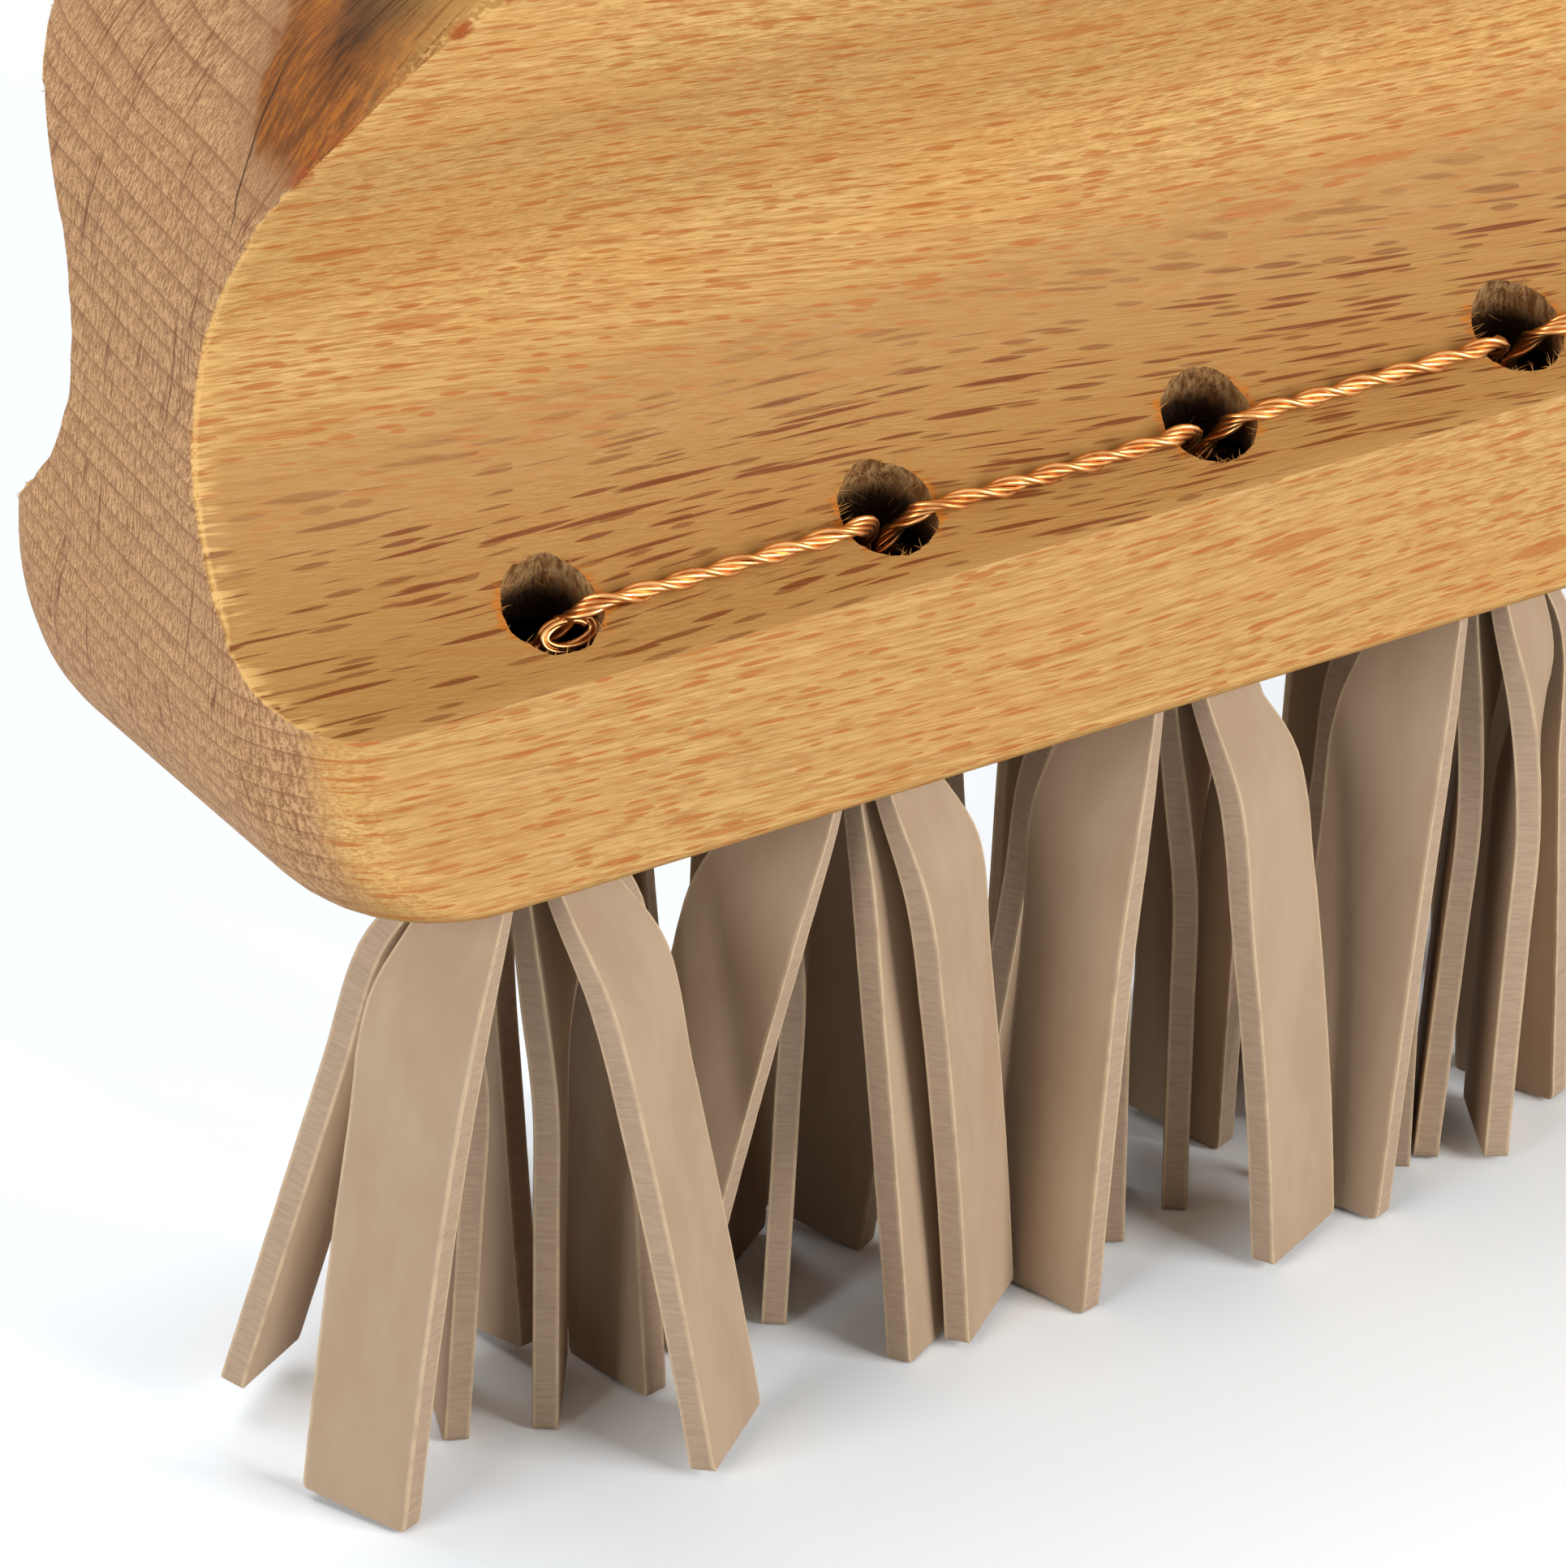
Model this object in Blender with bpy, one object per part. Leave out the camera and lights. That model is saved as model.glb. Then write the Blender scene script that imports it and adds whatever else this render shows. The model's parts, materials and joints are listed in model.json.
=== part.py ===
"""Lint brush: a beech back, two rows of folded rubber strips and two copper drawing wires.

Metres, +Z up. X runs along the brush and Y across it. The origin is on the surface that
the strips stand on, under the middle of the back. The rear row and its wire are the
front ones turned half a turn about Z.
"""
import math
from typing import NamedTuple

import bmesh
import bpy
from mathutils import Matrix, Vector


# Back: one board of beech, seen from the front a long loaf with round upper corners
BACK_LENGTH = 0.1710
BACK_WIDTH = 0.0300
UPPER_CORNER_LENGTH = 0.0335
UPPER_CORNER_START = 0.0300
UPPER_CORNER_POWER = 2.25
END_LEAN = 0.06
FOOT_LENGTH = 0.0080
FOOT_HEIGHT = 0.0119
FLANGE_HEIGHT = 0.0119
FLANGE_CORNER_RADIUS = 0.0056
SAWN_EDGE_RADIUS = 0.0003
LOWER_EDGE_RADIUS = 0.0012
LIP_RADIUS = 0.0004
CREST_HEIGHT = 0.0480
CREST_EDGE_WIDTH = 0.0060
CROWN_HEIGHT = 0.0060
BACK_HEIGHT = CREST_HEIGHT + CROWN_HEIGHT
WAIST_WIDTH = 0.0117

# Finger groove from the flange (0) to the crest (1): share of its rise, share of its depth
GROOVE_SHARES = (
    (0.000, 0.000),
    (0.028, 0.220),
    (0.067, 0.430),
    (0.125, 0.660),
    (0.200, 0.865),
    (0.320, 1.000),
    (0.475, 0.905),
    (0.640, 0.590),
    (0.800, 0.250),
    (1.000, 0.000),
)

# Rubber strips, each folded once over the wire; they are squeezed where a bore grips them
STAND_HEIGHT = 0.0335
STRIP_WIDTH = 0.0062
STRIP_THICKNESS = 0.0013
GRIPPED_WIDTH = 0.0038
GRIPPED_THICKNESS = 0.00095
STRIP_GAP = 0.00025
FOLD_HEIGHT = 0.0050
FOLD_BEND = 0.0010
SWELL_LENGTH = 0.0060
CROSS_HEADING = 30
FAN_SHARE = 0.70
TURNED_SHARE = 0.45

# Copper drawing wire
WIRE_DIAMETER = 0.00075
WIRE_GAP = 0.0003
WIRE_BEND = 0.0012

# Route of the wire over a hole's edge, from outside inwards, as shares of the hole's
# diameter: along the brush, down the slope and out of the wood
MOUTH_SHARES = (
    (0.92, 0.16, 0.145),
    (0.62, 0.16, 0.165),
    (0.28, 0.12, 0.050),
)

# Route of the wire inside a hole, in the same shares: along the brush and down the hole
THROAT_SHARES = (
    (0.17, 0.36),
    (0.10, 0.74),
)

# Bores: one from below for each tuft, met by a slanting one for the wire
TUFT_COUNT = 8
TUFT_PITCH = 0.0185
ROW_OFFSET = 0.0080
ROW_SHIFT = 0.0045
SPREAD_PITCHES = 1.811
TIP_SPREAD = TUFT_PITCH * SPREAD_PITCHES
BORE_GAP = 0.0003
WIRE_HOLE_DIAMETER = 0.0050
WIRE_HOLE_OFFSET = 0.0116
WIRE_HOLE_TILT = math.radians(25)
WIRE_HOLE_DEPTH = 0.0062
CUTTER_OVERRUN = 0.0020
WIRE_HOLE_OVERRUN = 0.0060

# Steps of the curved shapes
CORNER_STEPS = 4
EDGE_STEPS = 3
FOOT_STEPS = 4
GROOVE_STEPS = 2
CROWN_STEPS = 4
HOLE_SIDES = 16
LEG_STEPS = 5
FOLD_STEPS = 2
WIRE_STEPS = 2


class Leg(NamedTuple):
    """How one leg hangs: its tip in shares of the spread, its lift of the stand height."""

    tip_x_share: float
    tip_y_share: float
    turn_degrees: float
    bow_share: float
    lift_share: float = 0.0


class Tuft(NamedTuple):
    """One tuft: its pattern of legs and its turn in the bore."""

    pattern: int
    turn_degrees: float


class Fold(NamedTuple):
    """How one strip lies in its bore: the heading of its span and its bend's radius."""

    label: str
    heading_degrees: float
    half_span: float
    top: float
    bend: float


class Station(NamedTuple):
    """One cross-section of a strip."""

    centre: Vector
    across: Vector
    face: Vector
    half_width: float
    half_thickness: float


# Two legs of each fold, the one nearer the front or the near end first: inner, cross, outer
PATTERNS = (
    (
        (Leg(0.066, 0.045, 25, 0.00), Leg(-0.081, 0.100, 40, 0.00)),
        (Leg(-0.319, -0.066, -6, 0.25), Leg(0.185, 0.048, -22, 0.00)),
        (Leg(0.218, -0.206, 6, 0.20, 0.01), Leg(-0.287, 0.293, 2, 0.00, 0.04)),
    ),
    (
        (Leg(0.084, -0.107, -2, 0.20), Leg(-0.052, 0.108, 26, 0.00)),
        (Leg(-0.284, 0.120, -5, 0.10), Leg(0.098, 0.230, -5, 0.00)),
        (Leg(0.172, -0.112, 5, 0.50, 0.01), Leg(-0.062, 0.232, 2, 0.00)),
    ),
    (
        (Leg(0.092, 0.057, 25, 0.20), Leg(-0.048, 0.027, 27, 0.00)),
        (Leg(-0.255, -0.099, -13, 0.10), Leg(0.188, 0.185, -13, 0.00)),
        (Leg(0.143, -0.188, -6, 0.60, 0.01), Leg(-0.200, 0.175, 5, 0.00)),
    ),
    (
        (Leg(-0.048, -0.028, 26, 0.00), Leg(-0.122, -0.055, 26, 0.00)),
        (Leg(-0.290, -0.119, -5, 0.00), Leg(0.156, 0.021, -10, 0.60)),
        (Leg(0.030, -0.085, 34, 0.20, 0.01), Leg(-0.180, 0.165, 5, 0.00)),
    ),
    (
        (Leg(0.045, -0.055, 22, 0.00), Leg(-0.055, 0.065, 16, 0.20)),
        (Leg(-0.205, -0.045, -6, 0.20), Leg(0.190, 0.050, -9, 0.30)),
        (Leg(0.075, -0.180, 4, 0.30, 0.01), Leg(-0.100, 0.165, 9, 0.00)),
    ),
    (
        (Leg(0.030, -0.060, 15, 0.20), Leg(-0.070, 0.050, 20, 0.00)),
        (Leg(-0.230, -0.070, -10, 0.20), Leg(0.190, 0.240, -20, 0.00)),
        (Leg(0.110, -0.170, 8, 0.50, 0.01), Leg(-0.120, 0.150, 3, 0.00)),
    ),
)

ROW = (
    Tuft(0, 0),
    Tuft(1, 0),
    Tuft(2, 0),
    Tuft(3, 0),
    Tuft(4, 0),
    Tuft(4, 5),
    Tuft(4, -4),
    Tuft(5, 0),
)


def clear_scene() -> None:
    """Remove every object of the open file."""
    for thing in list(bpy.data.objects):
        bpy.data.objects.remove(thing, do_unlink=True)


def material(name: str, colour: tuple, roughness: float, metallic: float = 0.0):
    """A Principled material of one colour."""
    made = bpy.data.materials.new(name)
    made.use_nodes = True
    shader = made.node_tree.nodes["Principled BSDF"]
    shader.inputs["Base Color"].default_value = (*colour, 1.0)
    shader.inputs["Roughness"].default_value = roughness
    shader.inputs["Metallic"].default_value = metallic
    return made


def mesh_object(name: str, shape: bmesh.types.BMesh, finish) -> bpy.types.Object:
    """Put a bmesh into the scene as a smooth-shaded object with sharp creases."""
    bmesh.ops.recalc_face_normals(shape, faces=shape.faces)
    mesh = bpy.data.meshes.new(name)
    shape.to_mesh(mesh)
    shape.free()
    mesh.shade_smooth()
    mesh.set_sharp_from_angle(angle=math.radians(35))
    thing = bpy.data.objects.new(name, mesh)
    if finish is not None:
        mesh.materials.append(finish)
    bpy.context.scene.collection.objects.link(thing)
    return thing


def smooth_curve(points: list, steps: int) -> list:
    """Points on a smooth curve through the given ones."""
    curve = []
    last = len(points) - 1
    for index in range(last):
        before = points[max(index - 1, 0)]
        start, end = points[index], points[index + 1]
        after = points[min(index + 2, last)]
        for step in range(steps):
            t = step / steps
            value = (
                2 * start
                + (end - before) * t
                + (2 * before - 5 * start + 4 * end - after) * t ** 2
                + (3 * start - before - 3 * end + after) * t ** 3
            )
            curve.append(value / 2)
    curve.append(points[last])
    return curve


def ease(value: float) -> float:
    """Smooth step from 0 to 1."""
    value = min(max(value, 0.0), 1.0)
    return value * value * (3 - 2 * value)


def back_outline() -> list:
    """Half widths of the back at rising heights above its underside, lowest first."""
    half_width = BACK_WIDTH / 2
    outline = []
    for step in range(EDGE_STEPS + 1):
        angle = math.pi / 2 * step / EDGE_STEPS
        outline.append((
            LOWER_EDGE_RADIUS * (1 - math.cos(angle)),
            half_width - LOWER_EDGE_RADIUS * (1 - math.sin(angle)),
        ))
    plain = FLANGE_HEIGHT - LIP_RADIUS - LOWER_EDGE_RADIUS
    for step in range(1, FOOT_STEPS + 1):
        outline.append((LOWER_EDGE_RADIUS + plain * step / FOOT_STEPS, half_width))
    rise = CREST_HEIGHT - FLANGE_HEIGHT
    depth = (BACK_WIDTH - WAIST_WIDTH) / 2
    knots = [
        Vector((FLANGE_HEIGHT + rise * up, half_width - depth * inwards))
        for up, inwards in GROOVE_SHARES
    ]
    knots[0].y -= LIP_RADIUS
    outline.extend((point.x, point.y) for point in smooth_curve(knots, GROOVE_STEPS))
    for step in range(1, CROWN_STEPS + 1):
        angle = math.pi / 2 * step / CROWN_STEPS
        outline.append((
            CREST_HEIGHT + CROWN_HEIGHT * math.sin(angle),
            half_width - CREST_EDGE_WIDTH * (1 - math.cos(angle)),
        ))
    return outline


def half_length(height: float) -> float:
    """Half the length of the back at a height above its underside."""
    inset = END_LEAN * max(height - FLANGE_HEIGHT, 0.0)
    if height < FOOT_HEIGHT:
        below = 1 - height / FOOT_HEIGHT
        inset = FOOT_LENGTH * (1 - math.sqrt(1 - below ** 2))
    elif height > UPPER_CORNER_START:
        above = (height - UPPER_CORNER_START) / (BACK_HEIGHT - UPPER_CORNER_START)
        above = min(above, 1.0) ** UPPER_CORNER_POWER
        inset += UPPER_CORNER_LENGTH * (1 - (1 - above) ** (1 / UPPER_CORNER_POWER))
    return BACK_LENGTH / 2 - inset


def corner_arc(half_x: float, half_y: float, height: float) -> list:
    """One upright edge seen from above, from the end face round to the side.

    The board's upright edges are round at first; the finger groove then cuts into them and
    leaves the sawn edge that it meets the end face with.
    """
    radius, sweep = FLANGE_CORNER_RADIUS, math.pi / 2
    if height >= FLANGE_HEIGHT:
        reach = half_y - (BACK_WIDTH / 2 - FLANGE_CORNER_RADIUS)
        if reach > SAWN_EDGE_RADIUS:
            sweep = math.asin(min(reach / radius, 1.0))
        else:
            radius = SAWN_EDGE_RADIUS
    points = []
    for step in range(CORNER_STEPS + 1):
        angle = sweep * step / CORNER_STEPS
        points.append((
            half_x - radius * (1 - math.cos(angle)),
            half_y - radius * (math.sin(sweep) - math.sin(angle)),
        ))
    return points


def board_outline(half_x: float, half_y: float, height: float) -> list:
    """Outline of the back seen from above at one height, counter-clockwise."""
    arc = corner_arc(half_x, half_y, height)
    points = list(arc)
    points += [(-x, y) for x, y in reversed(arc)]
    points += [(-x, -y) for x, y in arc]
    points += [(x, -y) for x, y in reversed(arc)]
    return points


def loft(shape: bmesh.types.BMesh, rings: list) -> None:
    """Skin rings of equal length with quads and close both ends."""
    rows = [[shape.verts.new(point) for point in ring] for ring in rings]
    for lower, upper in zip(rows, rows[1:]):
        count = len(lower)
        for index in range(count):
            after = (index + 1) % count
            shape.faces.new((lower[index], lower[after], upper[after], upper[index]))
    shape.faces.new(list(reversed(rows[0])))
    shape.faces.new(rows[-1])


def surface_height(offset: float) -> float:
    """Height above the underside of the groove's lower slope at an offset from the middle."""
    outline = [point for point in back_outline() if point[0] >= FLANGE_HEIGHT]
    for (low, wide), (high, narrow) in zip(outline, outline[1:]):
        if narrow <= offset <= wide:
            return low + (high - low) * (wide - offset) / (wide - narrow)
    return FLANGE_HEIGHT


def cylinder_cutter(name: str, diameter: float, places: list) -> bpy.types.Object:
    """One cutter of separate cylinders; each place is a lower end, an axis and a length."""
    shape = bmesh.new()
    for start, axis, length in places:
        turn = axis.to_track_quat("Z", "Y").to_matrix().to_4x4()
        centre = start + axis * (length / 2)
        bmesh.ops.create_cone(
            shape,
            cap_ends=True,
            segments=HOLE_SIDES,
            radius1=diameter / 2,
            radius2=diameter / 2,
            depth=length,
            matrix=Matrix.Translation(centre) @ turn,
        )
    cutter = mesh_object(name, shape, None)
    cutter.display_type = "WIRE"
    cutter.hide_render = True
    return cutter


def half_turn(point: Vector) -> Vector:
    """The point turned half a turn about Z."""
    return Vector((-point.x, -point.y, point.z))


def tuft_x(index: int) -> float:
    """Place of a front tuft along the row; the rear ones stand about half a pitch further."""
    return TUFT_PITCH * (index - (TUFT_COUNT - 1) / 2) - ROW_SHIFT


def folds() -> tuple:
    """The three folded strips of a bore: innermost, the one across it, and the outermost."""
    inner_span = WIRE_DIAMETER / 2 + WIRE_GAP + GRIPPED_THICKNESS / 2
    cross_span = wire_reach() + WIRE_DIAMETER / 2 + WIRE_GAP + GRIPPED_THICKNESS / 2
    outer_span = GRIPPED_WIDTH / 2 + STRIP_GAP + GRIPPED_THICKNESS / 2
    layer = GRIPPED_THICKNESS + STRIP_GAP
    inner_top = FOLD_HEIGHT + inner_span
    return (
        Fold("inner", CROSS_HEADING + 90, inner_span, inner_top, inner_span),
        Fold("cross", CROSS_HEADING, cross_span, inner_top + layer, FOLD_BEND),
        Fold("outer", CROSS_HEADING + 90, outer_span, inner_top + 2 * layer, FOLD_BEND),
    )


def wire_reach() -> float:
    """Distance of the wire from the bore's axis where it clears a strip's edge."""
    return GRIPPED_WIDTH / 2 + WIRE_GAP + WIRE_DIAMETER / 2


def wire_top() -> float:
    """Height above the underside at which the wire passes over the outermost fold."""
    return folds()[-1].top + GRIPPED_THICKNESS / 2 + WIRE_GAP + WIRE_DIAMETER / 2


def bore_radius() -> float:
    """Radius of the bores from below: the widest strip's corners and a gap."""
    widest = max(fold.half_span for fold in folds())
    return math.hypot(widest + GRIPPED_THICKNESS / 2, GRIPPED_WIDTH / 2) + BORE_GAP


def hole_mouth(index: int) -> Vector:
    """Where a front wire hole's axis meets the groove."""
    height = STAND_HEIGHT + surface_height(WIRE_HOLE_OFFSET)
    return Vector((tuft_x(index), -WIRE_HOLE_OFFSET, height))


def hole_axis() -> Vector:
    """Direction of the front wire holes, up and out of the wood."""
    return Vector((0, -math.sin(WIRE_HOLE_TILT), math.cos(WIRE_HOLE_TILT)))


def slope_frame() -> Matrix:
    """Directions at the front wire holes: along the brush, down the slope, out of the wood."""
    reach = WIRE_HOLE_DIAMETER / 2
    rise = surface_height(WIRE_HOLE_OFFSET - reach) - surface_height(WIRE_HOLE_OFFSET + reach)
    downhill = Vector((0, -2 * reach, -rise)).normalized()
    along = Vector((1, 0, 0))
    return Matrix((along, downhill, along.cross(downhill) * -1)).transposed()


def make_back(finish) -> bpy.types.Object:
    """The beech back with its bores and wire holes."""
    rings = []
    for height, half_width in back_outline():
        outline = board_outline(half_length(height), half_width, height)
        rings.append([Vector((x, y, STAND_HEIGHT + height)) for x, y in outline])
    shape = bmesh.new()
    loft(shape, rings)
    back = mesh_object("back", shape, finish)

    depth = wire_top() + WIRE_DIAMETER + WIRE_GAP
    bores, holes = [], []
    for index in range(TUFT_COUNT):
        foot = Vector((tuft_x(index), -ROW_OFFSET, STAND_HEIGHT - CUTTER_OVERRUN))
        deep = hole_mouth(index) - hole_axis() * WIRE_HOLE_DEPTH
        for place in (Vector, half_turn):
            bores.append((place(foot), Vector((0, 0, 1)), depth + CUTTER_OVERRUN))
            holes.append((place(deep), place(hole_axis()), WIRE_HOLE_DEPTH + WIRE_HOLE_OVERRUN))
    for name, diameter, places in (
        ("bore_cutter", 2 * bore_radius(), bores),
        ("wire_hole_cutter", WIRE_HOLE_DIAMETER, holes),
    ):
        cut = back.modifiers.new(name, "BOOLEAN")
        cut.operation = "DIFFERENCE"
        cut.solver = "EXACT"
        cut.object = cylinder_cutter(name, diameter, places)
    return back


def section(station: Station) -> list:
    """The four corners of a strip's cross-section."""
    across = station.across * station.half_width
    face = station.face * station.half_thickness
    centre = station.centre
    return [centre - across - face, centre + across - face, centre + across + face, centre - across + face]


def leg_centres(root: Vector, leg: Leg, drop: float) -> list:
    """Middle line of one leg, from the mouth of its bore down to its cut end."""
    tip = Vector((leg.tip_x_share, leg.tip_y_share, 0)) * TIP_SPREAD
    spread = tip - root * (1 + FAN_SHARE)
    centres = []
    for step in range(LEG_STEPS + 1):
        down = step / LEG_STEPS
        out = (1 + leg.bow_share) * down - leg.bow_share * down ** 2
        swell = ease(down * STAND_HEIGHT / SWELL_LENGTH)
        centre = root * (1 + FAN_SHARE * swell) + spread * out
        centres.append(Vector((centre.x, centre.y, STAND_HEIGHT - drop * down)))
    return centres


def leg_stations(root: Vector, leg: Leg, drop: float) -> list:
    """Stations of one leg, from the mouth of its bore down to its cut end."""
    centres = leg_centres(root, leg, drop)
    heading = math.atan2(root.y, root.x) % math.pi + math.pi / 2
    stations = []
    for step, centre in enumerate(centres):
        down = step / LEG_STEPS
        before, after = centres[max(step - 1, 0)], centres[min(step + 1, LEG_STEPS)]
        tangent = (after - before).normalized() if step else Vector((0, 0, -1))
        angle = heading + math.radians(leg.turn_degrees) * ease(down / TURNED_SHARE)
        across = Vector((math.cos(angle), math.sin(angle), 0))
        across = (across - tangent * across.dot(tangent)).normalized()
        swell = ease(down * STAND_HEIGHT / SWELL_LENGTH)
        width = GRIPPED_WIDTH + (STRIP_WIDTH - GRIPPED_WIDTH) * swell
        thickness = GRIPPED_THICKNESS + (STRIP_THICKNESS - GRIPPED_THICKNESS) * swell
        stations.append(Station(centre, across, tangent.cross(across), width / 2, thickness / 2))
    return stations


def standing_leg(root: Vector, leg: Leg) -> list:
    """Stations of one leg whose lowest corner touches the ground, or is lifted off it."""
    drop = STAND_HEIGHT
    for _ in range(2):
        lowest = min(corner.z for corner in section(leg_stations(root, leg, drop)[-1]))
        drop += lowest - STAND_HEIGHT * leg.lift_share
    return leg_stations(root, leg, drop)


def strip_stations(fold: Fold, legs: tuple) -> list:
    """Stations of a whole folded strip about its bore, from one cut end to the other."""
    turn = Matrix.Rotation(math.radians(fold.heading_degrees), 3, "Z")
    span = turn @ Vector((1, 0, 0))
    across = turn @ Vector((0, 1, 0))
    near = standing_leg(-span * fold.half_span, legs[0])
    far = standing_leg(span * fold.half_span, legs[1])
    arch = []
    for side in (-1, 1):
        middle = span * (side * (fold.half_span - fold.bend))
        middle.z = STAND_HEIGHT + fold.top - fold.bend
        for step in range(FOLD_STEPS + 1):
            swing = math.pi / 2 * step / FOLD_STEPS
            angle = math.pi - swing if side < 0 else math.pi / 2 - swing
            out = span * math.cos(angle) + Vector((0, 0, math.sin(angle)))
            centre = middle + out * fold.bend
            arch.append(Station(centre, across, out, GRIPPED_WIDTH / 2, GRIPPED_THICKNESS / 2))
    if fold.bend == fold.half_span:
        del arch[FOLD_STEPS]
    rising = [station._replace(face=-station.face) for station in reversed(near)]
    return rising + arch + far


def make_strip(name: str, fold: Fold, legs: tuple, place: Matrix, finish) -> bpy.types.Object:
    """One folded strip of a tuft."""
    rings = []
    for station in strip_stations(fold, legs):
        rings.append([place @ corner for corner in section(station)])
    shape = bmesh.new()
    loft(shape, rings)
    return mesh_object(name, shape, finish)


def tuft_place(index: int) -> Matrix:
    """Where a front tuft stands: its place along the row and its turn."""
    place = Matrix.Translation(Vector((tuft_x(index), -ROW_OFFSET, 0)))
    return place @ Matrix.Rotation(math.radians(ROW[index].turn_degrees), 4, "Z")


def make_tufts(finish) -> None:
    """Three folded strips in every bore of both rows."""
    for index, tuft in enumerate(ROW):
        for row, turn in (("front", 0), ("rear", math.pi)):
            place = Matrix.Rotation(turn, 4, "Z") @ tuft_place(index)
            for fold, legs in zip(folds(), PATTERNS[tuft.pattern]):
                make_strip(f"{row}_strip_{index + 1}_{fold.label}", fold, legs, place, finish)


def mouth_points(index: int, side: int) -> list:
    """Points of the front wire on one side of a hole's mouth, from outside inwards."""
    mouth, frame = hole_mouth(index), slope_frame()
    over = [
        mouth + frame @ (Vector((side * along, down, out)) * WIRE_HOLE_DIAMETER)
        for along, down, out in MOUTH_SHARES
    ]
    inside = [
        mouth + (Vector((side * along, 0, 0)) - hole_axis() * deep) * WIRE_HOLE_DIAMETER
        for along, deep in THROAT_SHARES
    ]
    return over + inside


def bore_points(index: int) -> list:
    """Points of the front wire in a bore: down, under the inner fold and up again."""
    reach = wire_reach()
    top, bottom = wire_top(), FOLD_HEIGHT
    turn = Matrix.Rotation(math.radians(CROSS_HEADING), 3, "Z")
    places = [
        turn @ Vector((along * reach, across * reach, height))
        for along, across, height in (
            (-1, -1, top),
            (-1, -1, top - WIRE_BEND),
            (-1, -1, bottom + WIRE_BEND),
            (-1, -0.4, bottom),
            (-0.75, 0, bottom),
            (0.75, 0, bottom),
            (1, -0.4, bottom),
            (1, -1, bottom + WIRE_BEND),
            (1, -1, top - WIRE_BEND),
            (1, -1, top),
        )
    ]
    lift = Vector((0, 0, STAND_HEIGHT))
    return [tuft_place(index) @ (place + lift) for place in places]


def wire_route() -> list:
    """Points of the front wire, from its start in the first bore to its end in the last."""
    route = []
    for index in range(TUFT_COUNT):
        if index:
            route += mouth_points(index, -1)
        route += bore_points(index)
        if index < TUFT_COUNT - 1:
            route += list(reversed(mouth_points(index, 1)))
    return route


def make_wire(name: str, place, finish) -> bpy.types.Object:
    """One drawing wire, a tube along its whole route."""
    points = [place(point) for point in smooth_curve(wire_route(), WIRE_STEPS)]
    curve = bpy.data.curves.new(name, "CURVE")
    curve.dimensions = "3D"
    curve.bevel_depth = WIRE_DIAMETER / 2
    curve.bevel_resolution = 1
    curve.use_fill_caps = True
    spline = curve.splines.new("POLY")
    spline.points.add(len(points) - 1)
    for knot, point in zip(spline.points, points):
        knot.co = (*point, 1)
    curve.materials.append(finish)
    wire = bpy.data.objects.new(name, curve)
    bpy.context.scene.collection.objects.link(wire)
    return wire


def main() -> None:
    """Build the brush."""
    clear_scene()
    beech = material("oiled_beech", (0.60, 0.34, 0.14), 0.5)
    rubber = material("natural_rubber", (0.48, 0.38, 0.29), 0.75)
    copper = material("copper_wire", (0.78, 0.39, 0.20), 0.3, 1.0)
    make_back(beech)
    make_tufts(rubber)
    make_wire("front_wire", Vector, copper)
    make_wire("rear_wire", half_turn, copper)


main()
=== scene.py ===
"""Lint brush: finishes, twisted wires, cut rubber strips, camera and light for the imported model.

Metres, +Z up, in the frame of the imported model: the strips' tips stand on Z = 0, X runs
along the brush and the front side, with the wire that the picture shows, faces -Y.
"""
from __future__ import annotations

import json
import logging
import math
import random
from collections.abc import Callable
from dataclasses import dataclass
from enum import Enum
from functools import cached_property

import bmesh
import bpy
import numpy as np
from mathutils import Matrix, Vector, noise
from mathutils.bvhtree import BVHTree

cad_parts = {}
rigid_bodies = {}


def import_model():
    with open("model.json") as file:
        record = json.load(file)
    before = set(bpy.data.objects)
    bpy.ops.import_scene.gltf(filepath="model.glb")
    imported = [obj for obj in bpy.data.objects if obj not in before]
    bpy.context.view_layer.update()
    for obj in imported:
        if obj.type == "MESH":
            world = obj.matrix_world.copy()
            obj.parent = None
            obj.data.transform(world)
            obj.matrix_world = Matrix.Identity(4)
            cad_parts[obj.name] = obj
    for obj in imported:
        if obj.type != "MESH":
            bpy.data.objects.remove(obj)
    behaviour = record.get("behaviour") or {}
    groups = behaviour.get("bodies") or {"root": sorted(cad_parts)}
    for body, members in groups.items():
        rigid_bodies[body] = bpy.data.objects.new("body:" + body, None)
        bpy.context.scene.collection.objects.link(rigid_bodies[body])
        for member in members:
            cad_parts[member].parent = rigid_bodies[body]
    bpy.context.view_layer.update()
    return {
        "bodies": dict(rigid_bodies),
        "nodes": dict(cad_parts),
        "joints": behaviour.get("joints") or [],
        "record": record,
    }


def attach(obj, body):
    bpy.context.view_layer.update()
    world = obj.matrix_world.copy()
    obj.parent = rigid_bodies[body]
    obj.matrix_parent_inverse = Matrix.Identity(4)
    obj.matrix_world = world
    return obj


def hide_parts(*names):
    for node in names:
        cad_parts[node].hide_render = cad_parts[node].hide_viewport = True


LOG = logging.getLogger("lint_brush")
MILLIMETRE = 0.001
TURN = 2 * math.pi
VECTORS = "FLOAT_VECTOR"
ROOT = "root"


class Slot(Enum):
    """Material slots of the record."""

    BEECH = "beech"
    RUBBER = "rubber"
    COPPER = "copper"


class Row(Enum):
    """The two rows of tufts; the rear one is the front one turned half a turn."""

    FRONT = "front"
    REAR = "rear"

    def place(self, point: Vector) -> Vector:
        """A point of the front row, moved to this row."""
        return point.copy() if self is Row.FRONT else Vector((-point.x, -point.y, point.z))


# --------------------------------------------------------------------------- node trees


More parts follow.
